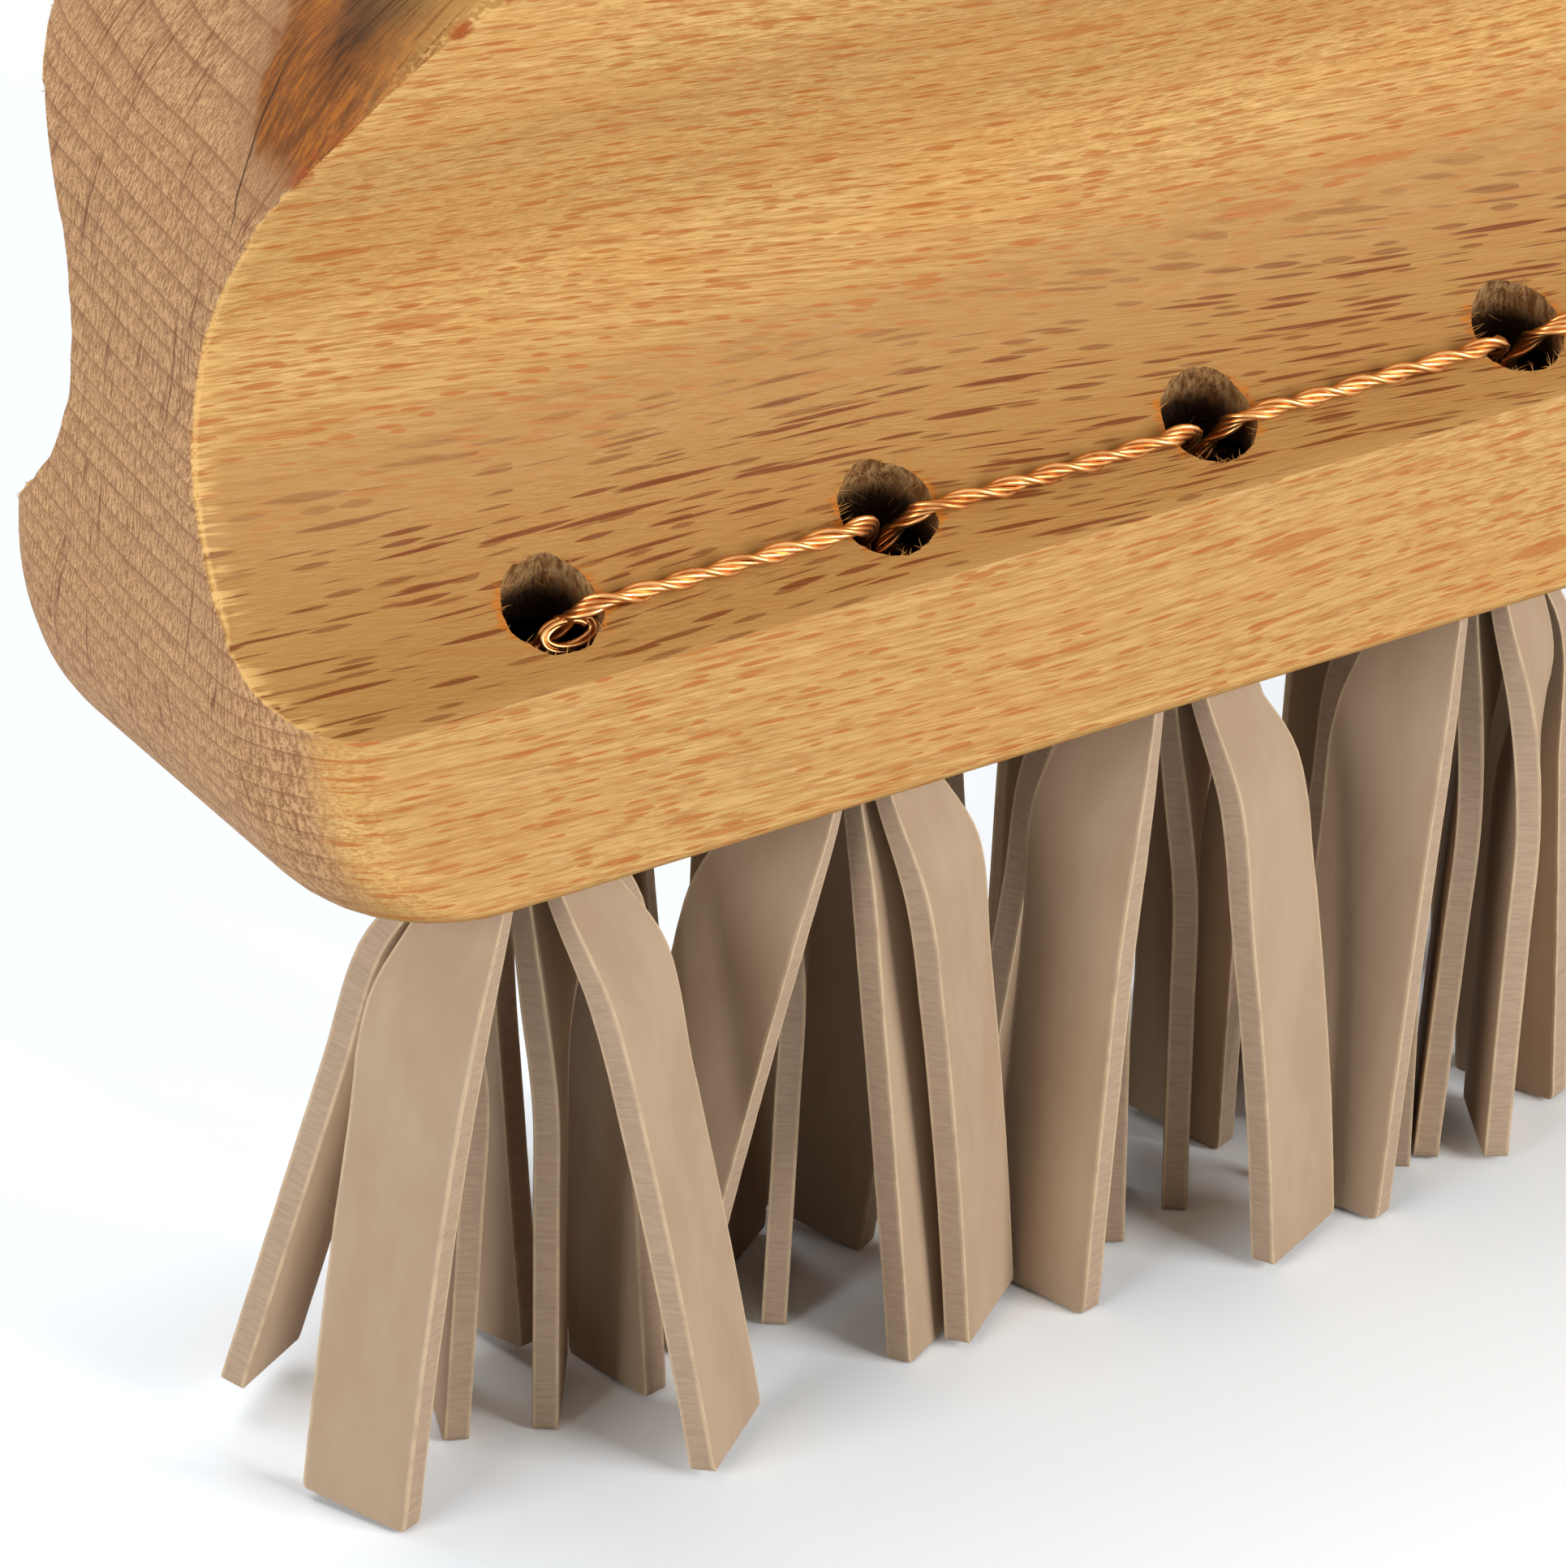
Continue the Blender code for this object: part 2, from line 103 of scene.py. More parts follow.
class Graph:
    """Short calls that add nodes to a tree and join them."""

    def __init__(self, tree: bpy.types.NodeTree) -> None:
        """Work on one node tree.

        Args:
            tree: The tree that the nodes go into.
        """
        self.tree = tree

    def node(
        self, kind: str, settings: dict | None = None, feeds: dict | None = None
    ) -> bpy.types.Node:
        """Add a node.

        Args:
            kind: Blender's name of the node type.
            settings: Options of the node by attribute name.
            feeds: Values or output sockets by input name or number.

        Returns:
            The new node.
        """
        made = self.tree.nodes.new(kind)
        for key, value in (settings or {}).items():
            setattr(made, key, value)
        for key, value in (feeds or {}).items():
            if isinstance(value, bpy.types.NodeSocket):
                self.tree.links.new(value, made.inputs[key])
            else:
                made.inputs[key].default_value = value
        return made

    def math(self, operation: str, *values) -> bpy.types.NodeSocket:
        """The result of one arithmetic operation on numbers or sockets."""
        feeds = dict(enumerate(values))
        return self.node("ShaderNodeMath", {"operation": operation}, feeds).outputs[0]

    def vector(self, operation: str, *values) -> bpy.types.NodeSocket:
        """The vector result of one operation on vectors or sockets."""
        feeds = dict(enumerate(values))
        return self.node("ShaderNodeVectorMath", {"operation": operation}, feeds).outputs[0]

    def vector_value(self, operation: str, *values) -> bpy.types.NodeSocket:
        """The number that comes of one operation on vectors or sockets."""
        feeds = dict(enumerate(values))
        return self.node("ShaderNodeVectorMath", {"operation": operation}, feeds).outputs["Value"]

    def scaled(self, vector, factor) -> bpy.types.NodeSocket:
        """A vector times a number."""
        feeds = {0: vector, "Scale": factor}
        return self.node("ShaderNodeVectorMath", {"operation": "SCALE"}, feeds).outputs[0]

    def xyz(self, x, y, z) -> bpy.types.NodeSocket:
        """A vector from three numbers or sockets."""
        return self.node("ShaderNodeCombineXYZ", None, {0: x, 1: y, 2: z}).outputs[0]

    def split(self, vector) -> tuple:
        """The three numbers of a vector."""
        return tuple(self.node("ShaderNodeSeparateXYZ", None, {0: vector}).outputs)

    def remap(
        self, value, low: float, high: float, start=0.0, end=1.0, smooth: bool = True
    ) -> bpy.types.NodeSocket:
        """A number moved from one range to another and kept inside it."""
        settings = {"interpolation_type": "SMOOTHSTEP" if smooth else "LINEAR"}
        feeds = {"Value": value, "From Min": low, "From Max": high, "To Min": start, "To Max": end}
        return self.node("ShaderNodeMapRange", settings, feeds).outputs[0]

    def mapping(
        self, vector, scale, rotation=(0, 0, 0), location=(0, 0, 0)
    ) -> bpy.types.NodeSocket:
        """A vector that is scaled, turned and moved."""
        feeds = {"Vector": vector, "Scale": scale, "Rotation": rotation, "Location": location}
        return self.node("ShaderNodeMapping", None, feeds).outputs[0]

    def noise(
        self, vector, scale=1.0, detail=2.0, roughness=0.5, colour: bool = False
    ) -> bpy.types.NodeSocket:
        """Noise between 0 and 1, or a noise vector."""
        feeds = {"Vector": vector, "Scale": scale, "Detail": detail, "Roughness": roughness}
        made = self.node("ShaderNodeTexNoise", {"noise_dimensions": "3D"}, feeds)
        return made.outputs["Color" if colour else "Fac"]

    def blend(self, factor, first, second) -> bpy.types.NodeSocket:
        """Two colours mixed."""
        settings = {"data_type": "RGBA", "blend_type": "MIX", "clamp_factor": True}
        made = self.node("ShaderNodeMix", settings, {0: factor, 6: first, 7: second})
        return made.outputs[2]


class Finish:
    """A material under construction: a Principled shader and the graph that feeds it."""

    def __init__(self, name: str) -> None:
        """Start a material.

        Args:
            name: Its name in the file.
        """
        self.material = bpy.data.materials.new(name)
        self.material.use_nodes = True
        self.graph = Graph(self.material.node_tree)
        self.shader = self.material.node_tree.nodes["Principled BSDF"]

    def attribute(self, name: str, output: str = "Vector") -> bpy.types.NodeSocket:
        """A value that the mesh carries."""
        made = self.graph.node("ShaderNodeAttribute", {"attribute_name": name})
        return made.outputs[output]

    def coordinates(self, output: str = "Object") -> bpy.types.NodeSocket:
        """Texture coordinates of the piece."""
        return self.graph.node("ShaderNodeTexCoord").outputs[output]

    def millimetres(self) -> bpy.types.NodeSocket:
        """Coordinates of the piece in millimetres."""
        return self.graph.mapping(self.coordinates(), (1000, 1000, 1000))

    def feed(self, **sockets) -> None:
        """Join sockets or values to the shader; underscores stand for spaces."""
        for name, value in sockets.items():
            target = self.shader.inputs[name.replace("_", " ")]
            if isinstance(value, bpy.types.NodeSocket):
                self.graph.tree.links.new(value, target)
            else:
                target.default_value = value

    def bump(self, height, distance: float, strength: float = 1.0) -> None:
        """Let a height from 0 to 1 tilt the surface; the distance is in metres."""
        feeds = {"Height": height, "Distance": distance, "Strength": strength}
        made = self.graph.node("ShaderNodeBump", None, feeds)
        self.graph.tree.links.new(made.outputs[0], self.shader.inputs["Normal"])


Colour = tuple[float, float, float, float]


def rgb(red: float, green: float, blue: float) -> Colour:
    """An opaque colour from its linear parts."""
    return (red, green, blue, 1.0)


# ------------------------------------------------------------------------------ finishes


@dataclass(frozen=True)
class Beech:
    """Oiled beech with one solid figure through the board.

    The growth rings are arcs about a pith line outside the board, and the rays stand on
    them. So the groove's slope shows rays as dark dashes, the upright faces show them as
    lenses, and the sawn end shows rings and rays as lines. On the plane band below the
    groove the figure is turned, so that it runs along the band's edge.
    """

    name: str = "oiled_beech"
    pith: tuple = (-25.0, 160.0)
    grain_turn: tuple = (0.0, math.radians(-6.5), math.radians(1.5))
    ring_start: float = 80.0
    ring_rate: float = 0.50
    ring_gain: float = 0.0044
    upright_rays: tuple = (
        ((3.6, 1.00), 0.35, 0.13, 0.72), ((2.0, 0.52), 0.30, 0.16, 0.76),
        ((8.0, 2.4), 0.74, 0.13, 0.62),
    )
    lying_rays: tuple = (
        ((3.2, 0.46), 0.25, 0.15, 0.62), ((6.0, 0.74), 0.28, 0.100, 0.90),
        ((10.0, 0.90), 0.40, 0.075, 0.92), ((4.6, 0.62), 0.40, 0.105, 0.85),
    )
    ray_shift: float = 7.7
    slope_tilt: float = math.radians(-14)
    early_wood: Colour = rgb(0.745, 0.470, 0.172)
    late_wood: Colour = rgb(0.505, 0.255, 0.075)
    # Painted shade: the colour that faces lying back are painted towards.
    lying_face_shade: Colour = rgb(0.430, 0.222, 0.062)
    warm_wood: Colour = rgb(0.680, 0.355, 0.108)
    pale_wood: Colour = rgb(0.890, 0.610, 0.270)
    shallow_ray: Colour = rgb(0.480, 0.150, 0.030)
    deep_ray: Colour = rgb(0.200, 0.050, 0.010)
    end_light: Colour = rgb(0.650, 0.390, 0.190)
    end_dark: Colour = rgb(0.310, 0.153, 0.066)
    end_ring: Colour = rgb(0.268, 0.115, 0.054)
    ray_line: Colour = rgb(0.190, 0.060, 0.026)
    torn_edge: Colour = rgb(0.820, 0.510, 0.185)
    orange: Colour = rgb(0.600, 0.190, 0.018)
    ember: Colour = rgb(0.360, 0.070, 0.012)
    stain: Colour = rgb(0.275, 0.082, 0.010)
    stain_core: Colour = rgb(0.036, 0.012, 0.004)
    stain_tinge: Colour = rgb(0.325, 0.155, 0.075)
    stain_place: tuple = (-73.2, -10.6, 80.5)
    crack_place: tuple = (-82.0, -7.9, 72.8)
    hole_place: tuple = (-69.25, -11.6, 47.7)
    hole_pitch: float = 18.5
    hole_radius: float = 2.5
    hole_tilt: float = math.radians(25)
    row_middle: float = -4.5
    pitches_each_way: int = 4
    band_top: float = 45.4
    band_lean: float = 0.10

    def wood_place(self, graph: Graph, rough) -> bpy.types.NodeSocket:
        """Coordinates in the wood: along the grain, round the rings and out from the pith.

        Args:
            graph: The material's graph.
            rough: Coordinates of the piece in millimetres.

        Returns:
            A vector in millimetres, gently warped.
        """
        turned = graph.mapping(rough, (1, 1, 1), self.grain_turn)
        x, y, z = graph.split(turned)
        side = graph.math("SUBTRACT", y, self.pith[0])
        down = graph.math("SUBTRACT", self.pith[1], z)
        out = graph.vector_value("LENGTH", graph.xyz(0.0, side, down))
        turn = graph.math("MULTIPLY", graph.math("ARCTAN2", side, down), 100.0)
        wood = graph.xyz(x, turn, out)
        middle = (0.5, 0.5, 0.5)
        slow = graph.noise(graph.mapping(wood, (0.020, 0.028, 0.028)), 1.0, 0.0, colour=True)
        slow = graph.vector("MULTIPLY", graph.vector("SUBTRACT", slow, middle), (0, 3.0, 5.0))
        wave = graph.noise(graph.mapping(wood, (0.04, 0.14, 0.16)), 1.0, 0.0, colour=True)
        wave = graph.vector("MULTIPLY", graph.vector("SUBTRACT", wave, middle), (0, 1.2, 0.7))
        return graph.vector("ADD", wood, graph.vector("ADD", slow, wave))

    def rays(self, graph: Graph, plane, cell: tuple, share: float, thick: float, shift: float):
        """Rays cut by a face: lens-shaped along the grain, one to a cell.

        Args:
            graph: The material's graph.
            plane: Coordinates in the wood, along the grain and across it.
            cell: Spacing of the rays along the grain and across it.
            share: Part of the cells that has no ray.
            thick: Half thickness of a ray as a part of its cell.
            shift: Any number that sets this layer of rays apart from another.

        Returns:
            A mask from 0 to 1.
        """
        place = graph.mapping(plane, (1 / cell[0], 1 / cell[1], 0), (0, 0, 0), (shift, shift, 0))
        feeds = {"Vector": place, "Scale": 1.0, "Randomness": 0.9}
        cells = graph.node("ShaderNodeTexVoronoi", {"voronoi_dimensions": "2D"}, feeds)
        red, green, blue = graph.split(cells.outputs["Color"])
        along, across, _ = graph.split(graph.vector("SUBTRACT", place, cells.outputs["Position"]))
        reach = graph.math("MULTIPLY_ADD", green, 0.22, 0.26)
        taper = graph.math("POWER", graph.math("DIVIDE", along, reach), 2.0)
        swell = graph.math("MULTIPLY_ADD", blue, thick * 1.1, thick * 0.45)
        height = graph.math("MULTIPLY", graph.math("SUBTRACT", 1.0, taper), swell)
        inside = graph.math("SUBTRACT", height, graph.math("ABSOLUTE", across))
        mask = graph.remap(inside, 0.0, thick * 0.5)
        return graph.math("MULTIPLY", mask, graph.remap(red, share, share + 0.10))

    def rings(self, graph: Graph, wood) -> tuple:
        """Masks of the late wood and of the thin line that ends each growth ring."""
        out = graph.split(wood)[2]
        spacing = graph.noise(graph.xyz(0.0, 0.0, graph.math("MULTIPLY", out, 0.14)), 1.0, 1.0)
        near = graph.math("SUBTRACT", out, self.ring_start)
        rate = graph.math("MULTIPLY_ADD", near, self.ring_gain, self.ring_rate)
        count = graph.math("MULTIPLY_ADD", spacing, 3.4, graph.math("MULTIPLY", near, rate))
        phase = graph.math("FRACT", graph.math("MULTIPLY", count, -1.0))
        late = graph.math("MULTIPLY", graph.remap(phase, 0.35, 0.92), graph.remap(phase, 1.0, 0.96))
        line = graph.math("MULTIPLY", graph.remap(phase, 0.84, 0.92), graph.remap(phase, 1.0, 0.96))
        return late, line

    def leaning(self, graph: Graph, rough, wood) -> bpy.types.NodeSocket:
        """Wood coordinates whose figure runs along the edge on the plane band below the groove.

        Args:
            graph: The material's graph.
            rough: Coordinates of the piece in millimetres.
            wood: Coordinates in the wood.

        Returns:
            A vector in millimetres.
        """
        low = graph.remap(graph.split(rough)[2], self.band_top + 0.3, self.band_top - 0.2)
        along = graph.split(wood)[0]
        lean = graph.math("MULTIPLY", along, graph.math("MULTIPLY", low, self.band_lean))
        return graph.vector("ADD", wood, graph.xyz(0.0, 0.0, lean))

    def side_colour(self, graph: Graph, wood, facing) -> bpy.types.NodeSocket:
        """Colour of the planed faces.

        Args:
            graph: The material's graph.
            wood: Coordinates in the wood.
            facing: Direction that the surface faces.

        Returns:
            The colour.
        """
        late, line = self.rings(graph, wood)
        fine = self.fine_grain(graph, wood)
        upward = (0, math.sin(self.slope_tilt), math.cos(self.slope_tilt))
        lying = graph.vector_value("DOT_PRODUCT", facing, upward)
        slope = graph.remap(graph.math("ABSOLUTE", lying), 0.38, 0.80)
        level = graph.math("SUBTRACT", 1.0, slope)
        along, turn, out = graph.split(wood)
        upright = graph.xyz(
            graph.math("MULTIPLY_ADD", turn, 0.7, along),
            graph.math("MULTIPLY_ADD", turn, 0.2, out), 0.0,
        )
        streak = graph.noise(graph.mapping(wood, (0.15, 7.6, 6.4)), 1.0, 3.0, 0.70)
        blotch = graph.noise(graph.mapping(wood, (0.07, 0.30, 0.30)), 1.0, 1.0, 0.5)
        colour = graph.blend(graph.remap(streak, 0.38, 0.66), self.early_wood, self.late_wood)
        colour = graph.blend(graph.remap(blotch, 0.35, 0.75, 0.0, 0.55), colour, self.warm_wood)
        colour = graph.blend(graph.math("MULTIPLY", late, 0.20), colour, self.late_wood)
        colour = graph.blend(graph.math("MULTIPLY", line, 0.38), colour, self.shallow_ray)
        colour = graph.blend(graph.remap(fine, 0.54, 0.76, 0.0, 0.50), colour, self.shallow_ray)
        colour = graph.blend(graph.remap(fine, 0.44, 0.28, 0.0, 0.45), colour, self.pale_wood)
        # Painted shade: the more a face lies back, as the groove's lower slope does, the darker it
        # is painted.
        lying_shade = graph.remap(graph.math("ABSOLUTE", lying), 0.0, 0.62, 0.0, 0.82)
        colour = graph.blend(lying_shade, colour, self.lying_face_shade)
        for plane, weight, shade, layers in (
            (upright, level, self.shallow_ray, self.upright_rays),
            (wood, slope, self.deep_ray, self.lying_rays),
        ):
            for number, (cell, share, thick, strength) in enumerate(layers):
                mask = self.rays(graph, plane, cell, share, thick, self.ray_shift * number)
                amount = graph.math("MULTIPLY", graph.math("MULTIPLY", mask, weight), strength)
                colour = graph.blend(amount, colour, shade)
        return colour

    def fine_grain(self, graph: Graph, wood) -> bpy.types.NodeSocket:
        """Fine noise along the grain."""
        return graph.noise(graph.mapping(wood, (0.60, 12.5, 9.5)), 1.0, 1.0, 0.6)

    def end_colour(self, graph: Graph, wood, fine) -> bpy.types.NodeSocket:
        """Colour of the sawn ends.

        Args:
            graph: The material's graph.
            wood: Coordinates in the wood.
            fine: Fine noise along the grain.

        Returns:
            The colour.
        """
        late, line = self.rings(graph, wood)
        ticks = graph.noise(graph.mapping(wood, (0.3, 9.5, 1.9)), 1.0, 2.0, 0.65)
        tone = graph.math("MULTIPLY_ADD", fine, 0.36, graph.math("MULTIPLY", ticks, 0.72))
        colour = graph.blend(graph.remap(tone, 0.42, 0.67), self.end_light, self.end_dark)
        colour = graph.blend(graph.math("MULTIPLY", late, 0.26), colour, self.end_ring)
        colour = graph.blend(graph.math("MULTIPLY", line, 0.52), colour, self.end_ring)
        lines = graph.noise(graph.mapping(wood, (0.05, 1.1, 0.035)), 1.0, 2.0, 0.6)
        ray = graph.remap(graph.math("ABSOLUTE", graph.math("SUBTRACT", lines, 0.5)), 0.020, 0.004)
        some = graph.noise(graph.mapping(wood, (0.1, 0.6, 0.16)), 1.0, 1.0)
        ray = graph.math("MULTIPLY", ray, graph.remap(some, 0.50, 0.60, 0.0, 0.75))
        return graph.blend(ray, colour, self.ray_line)

    def build(self) -> bpy.types.Material:
        """Make the material of the planed and sawn faces."""
        finish = Finish(self.name)
        graph = finish.graph
        rough = finish.millimetres()
        wood = self.wood_place(graph, rough)
        facing = finish.coordinates("Normal")
        fine = self.fine_grain(graph, wood)
        sawn = graph.remap(graph.math("ABSOLUTE", graph.split(facing)[0]), 0.45, 0.75)
        edge = finish.attribute("edge", "Fac")
        fray = graph.noise(graph.mapping(wood, (0.35, 5.0, 5.0)), 1.0, 1.0)

        side = self.side_colour(graph, self.leaning(graph, rough, wood), facing)
        combed = graph.remap(fray, 0.50, 0.36, 0.0, 0.75)
        comb = graph.math("MULTIPLY", graph.remap(edge, 0.20, 0.95), combed)
        side = graph.blend(comb, side, self.torn_edge)
        end = self.end_colour(graph, wood, fine)
        end, knot = self.stained(graph, rough, wood, end)
        colour = graph.blend(sawn, side, end)
        fringe = graph.remap(graph.math("MULTIPLY_ADD", fray, -0.22, edge), 0.77, 0.89)
        sound = graph.math("MULTIPLY", fringe, graph.remap(knot, 0.5, 0.1, 0.0, 0.85))
        colour = graph.blend(sound, colour, self.torn_edge)
        patch = graph.noise(graph.mapping(rough, (0.4, 0.4, 0.4)), 1.0, 2.0, 0.6)
        charred = graph.remap(patch, 0.50, 0.60, 0.0, 0.85)
        burnt = graph.math("MULTIPLY", graph.remap(edge, 0.50, 0.85), charred)
        colour = graph.blend(graph.math("MULTIPLY", burnt, knot), colour, self.ember)
        colour = self.torn_rims(graph, rough, colour)

        relief = graph.noise(graph.mapping(wood, (0.45, 9.0, 9.0)), 1.0, 1.0, 0.6)
        finish.bump(relief, 0.00007, 0.7)
        finish.feed(
            Base_Color=colour, Specular_IOR_Level=0.16,
            Roughness=graph.remap(fine, 0.3, 0.7, 0.46, 0.60),
        )
        return finish.material

    def stained(self, graph: Graph, rough, wood, colour) -> tuple:
        """The end's colour with the dark knot at its top and the drying crack beside it.

        Args:
            graph: The material's graph.
            rough: Coordinates of the piece in millimetres.
            wood: Coordinates in the wood.
            colour: Colour of the plain end.

        Returns:
            The colour and the knot's mask.
        """
        away = graph.vector("SUBTRACT", rough, self.stain_place)
        wander = graph.noise(graph.mapping(rough, (0.18, 0.42, 0.24)), 1.0, 3.0, 0.65, colour=True)
        wander = graph.scaled(graph.vector("SUBTRACT", wander, (0.5, 0.5, 0.5)), 5.0)
        away = graph.vector("ADD", away, wander)
        reach = graph.vector_value("LENGTH", graph.vector("MULTIPLY", away, (0.048, 0.155, 0.100)))
        body = graph.remap(reach, 1.02, 0.86)
        core = graph.vector_value("LENGTH", graph.vector("MULTIPLY", away, (0.085, 0.36, 0.15)))
        streaks = graph.noise(graph.mapping(wood, (0.3, 3.8, 0.6)), 1.0, 3.0, 0.75)
        dark = graph.remap(streaks, 0.42, 0.64)
        colour = graph.blend(graph.remap(reach, 1.35, 0.95, 0.0, 0.55), colour, self.stain_tinge)
        colour = graph.blend(graph.math("MULTIPLY", body, 0.88), colour, self.stain)
        glow = graph.math("MULTIPLY", graph.remap(streaks, 0.50, 0.36), graph.remap(core, 0.6, 1.1))
        glow = graph.math("MULTIPLY", graph.math("MULTIPLY", glow, body), 0.45)
        colour = graph.blend(glow, colour, self.orange)
        deep = graph.math("MULTIPLY_ADD", dark, 0.45, graph.remap(core, 1.0, 0.35, 0.0, 0.88))
        deep = graph.math("MINIMUM", graph.math("MULTIPLY", deep, body), 0.93)
        colour = graph.blend(deep, colour, self.stain_core)

        _, across, up = graph.split(graph.vector("SUBTRACT", rough, self.crack_place))
        bend = graph.noise(graph.xyz(0.0, 0.0, graph.math("MULTIPLY", up, 0.5)), 1.0, 1.0)
        line = graph.math("MULTIPLY_ADD", bend, 0.5, graph.math("MULTIPLY_ADD", up, -0.10, across))
        line = graph.math("ABSOLUTE", graph.math("SUBTRACT", line, 0.25))
        ends = graph.remap(graph.math("ABSOLUTE", up), 4.8, 2.4)
        thin = graph.math("MULTIPLY", graph.remap(line, 0.11, 0.03), ends)
        return graph.blend(graph.math("MULTIPLY", thin, 0.85), colour, self.stain_core), body

    def torn_rims(self, graph: Graph, rough, colour) -> bpy.types.NodeSocket:
        """A colour with the orange torn wood beside the wire holes.

        Args:
            graph: The material's graph.
            rough: Coordinates of the piece in millimetres.
            colour: The colour without it.

        Returns:
            The colour.
        """
        x, y, z = graph.split(rough)
        half_turn = graph.math("MULTIPLY", graph.math("SIGN", y), -1.0)
        along = graph.math("MULTIPLY", x, half_turn)
        inner = graph.math("ABSOLUTE", graph.math("SUBTRACT", along, self.row_middle))
        shifted = graph.math("SUBTRACT", along, self.hole_place[0])
        half = self.hole_pitch / 2
        near = graph.math("WRAP", shifted, half, -half)
        depth = graph.math("ADD", graph.math("ABSOLUTE", y), self.hole_place[1])
        rise = graph.math("SUBTRACT", z, self.hole_place[2])
        over = graph.math(
            "MULTIPLY_ADD", depth, -math.cos(self.hole_tilt),
            graph.math("MULTIPLY", rise, math.sin(self.hole_tilt)),
        )
        away = graph.vector_value("LENGTH", graph.xyz(near, over, 0.0))
        ragged = graph.noise(graph.mapping(rough, (0.9, 2.6, 2.6)), 1.0, 2.0, 0.6)
        past = graph.math("SUBTRACT", away, self.hole_radius)
        reach = graph.math("MULTIPLY_ADD", ragged, -2.4, past)
        band = graph.remap(reach, -0.75, -1.25)
        sides = graph.remap(graph.math("ABSOLUTE", near), 1.7, 2.3)
        row_end = self.hole_pitch * self.pitches_each_way
        inside = graph.remap(inner, row_end, row_end - 1)
        mask = graph.math("MULTIPLY", graph.math("MULTIPLY", band, sides), inside)
        return graph.blend(graph.math("MULTIPLY", mask, 0.75), colour, self.orange)


@dataclass(frozen=True)
class BoredBeech:
    """The rough, darker wood of the walls that the drills left."""

    name: str = "bored_beech"
    light: Colour = rgb(0.480, 0.290, 0.125)
    dark: Colour = rgb(0.175, 0.072, 0.021)
    # Painted shade: the near-black colour deep down the wire holes.
    painted_hole_shade: Colour = rgb(0.022, 0.010, 0.005)
    hole_place: tuple = (-69.25, -11.6, 47.7)
    hole_tilt: float = math.radians(25)

    def build(self) -> bpy.types.Material:
        """Make the material; it is painted darker and darker down the wire holes, as painted shade.
        """
        finish = Finish(self.name)
        graph = finish.graph
        rough = finish.millimetres()
        torn = graph.noise(graph.mapping(rough, (2.6, 2.6, 0.6)), 1.0, 3.0, 0.7)
        colour = graph.blend(graph.remap(torn, 0.34, 0.66), self.light, self.dark)
        _, y, z = graph.split(rough)
        depth = graph.math("ADD", graph.math("ABSOLUTE", y), self.hole_place[1])
        rise = graph.math("SUBTRACT", z, self.hole_place[2])
        along = graph.math(
            "MULTIPLY_ADD", depth, math.sin(self.hole_tilt),
            graph.math("MULTIPLY", rise, math.cos(self.hole_tilt)),
        )
        along = graph.math("MULTIPLY_ADD", graph.math("SUBTRACT", torn, 0.5), 3.0, along)
        # Painted shade: the walls are painted darker the deeper they lie down each wire hole.
        colour = graph.blend(graph.remap(along, -0.5, -2.1, 0.0, 0.96), colour, self.painted_hole_shade)
        finish.bump(torn, 0.00030, 0.9)
        finish.feed(Base_Color=colour, Roughness=0.85, Specular_IOR_Level=0.12)
        return finish.material


@dataclass(frozen=True)
class Rubber:
    """Matt natural rubber sheet with sheared edges."""

    name: str = "natural_rubber"
    sheet: Colour = rgb(0.500, 0.364, 0.246)
    sheet_shade: Colour = rgb(0.455, 0.320, 0.210)
    cut: Colour = rgb(0.435, 0.308, 0.212)
    cut_light: Colour = rgb(0.500, 0.362, 0.252)
    corner: Colour = rgb(0.640, 0.485, 0.310)

    def build(self) -> bpy.types.Material:
        """Make the material; it reads the strip's own coordinates from the mesh."""
        finish = Finish(self.name)
        graph = finish.graph
        strip = finish.attribute("strip")
        across, through, _ = graph.split(finish.attribute("unit"))
        out = graph.math("ABSOLUTE", across)
        deep = graph.math("ABSOLUTE", through)

        cloud = graph.noise(graph.mapping(strip, (0.12, 0.3, 0.3)), 1.0, 3.0, 0.55)
        grain = graph.noise(strip, 7.0, 2.0, 0.6)
        colour = graph.blend(graph.remap(cloud, 0.35, 0.68), self.sheet, self.sheet_shade)
        shear = graph.noise(graph.mapping(strip, (5.5, 0.4, 0.8)), 1.0, 3.0, 0.62)
        edges = graph.blend(graph.remap(shear, 0.32, 0.66), self.cut, self.cut_light)
        side = graph.remap(out, 0.955, 0.975)
        colour = graph.blend(side, colour, edges)
        wander = graph.noise(graph.mapping(strip, (0.9, 0.2, 0.2)), 1.0, 2.0, 0.5)
        line = graph.math("MULTIPLY", graph.remap(out, 0.925, 0.965), graph.remap(deep, 0.66, 0.86))
        line = graph.math("MULTIPLY", line, graph.remap(wander, 0.25, 0.60, 0.35, 0.95))
        colour = graph.blend(line, colour, self.corner)

        ridges = graph.math("MULTIPLY", graph.math("SUBTRACT", shear, 0.5), side)
        height = graph.math("MULTIPLY_ADD", grain, 0.18, graph.math("MULTIPLY", ridges, 0.7))
        finish.bump(height, 0.00006, 0.8)
        finish.feed(
            Base_Color=colour, Specular_IOR_Level=0.3,
            Roughness=graph.remap(cloud, 0.3, 0.7, 0.58, 0.68),
        )
        return finish.material


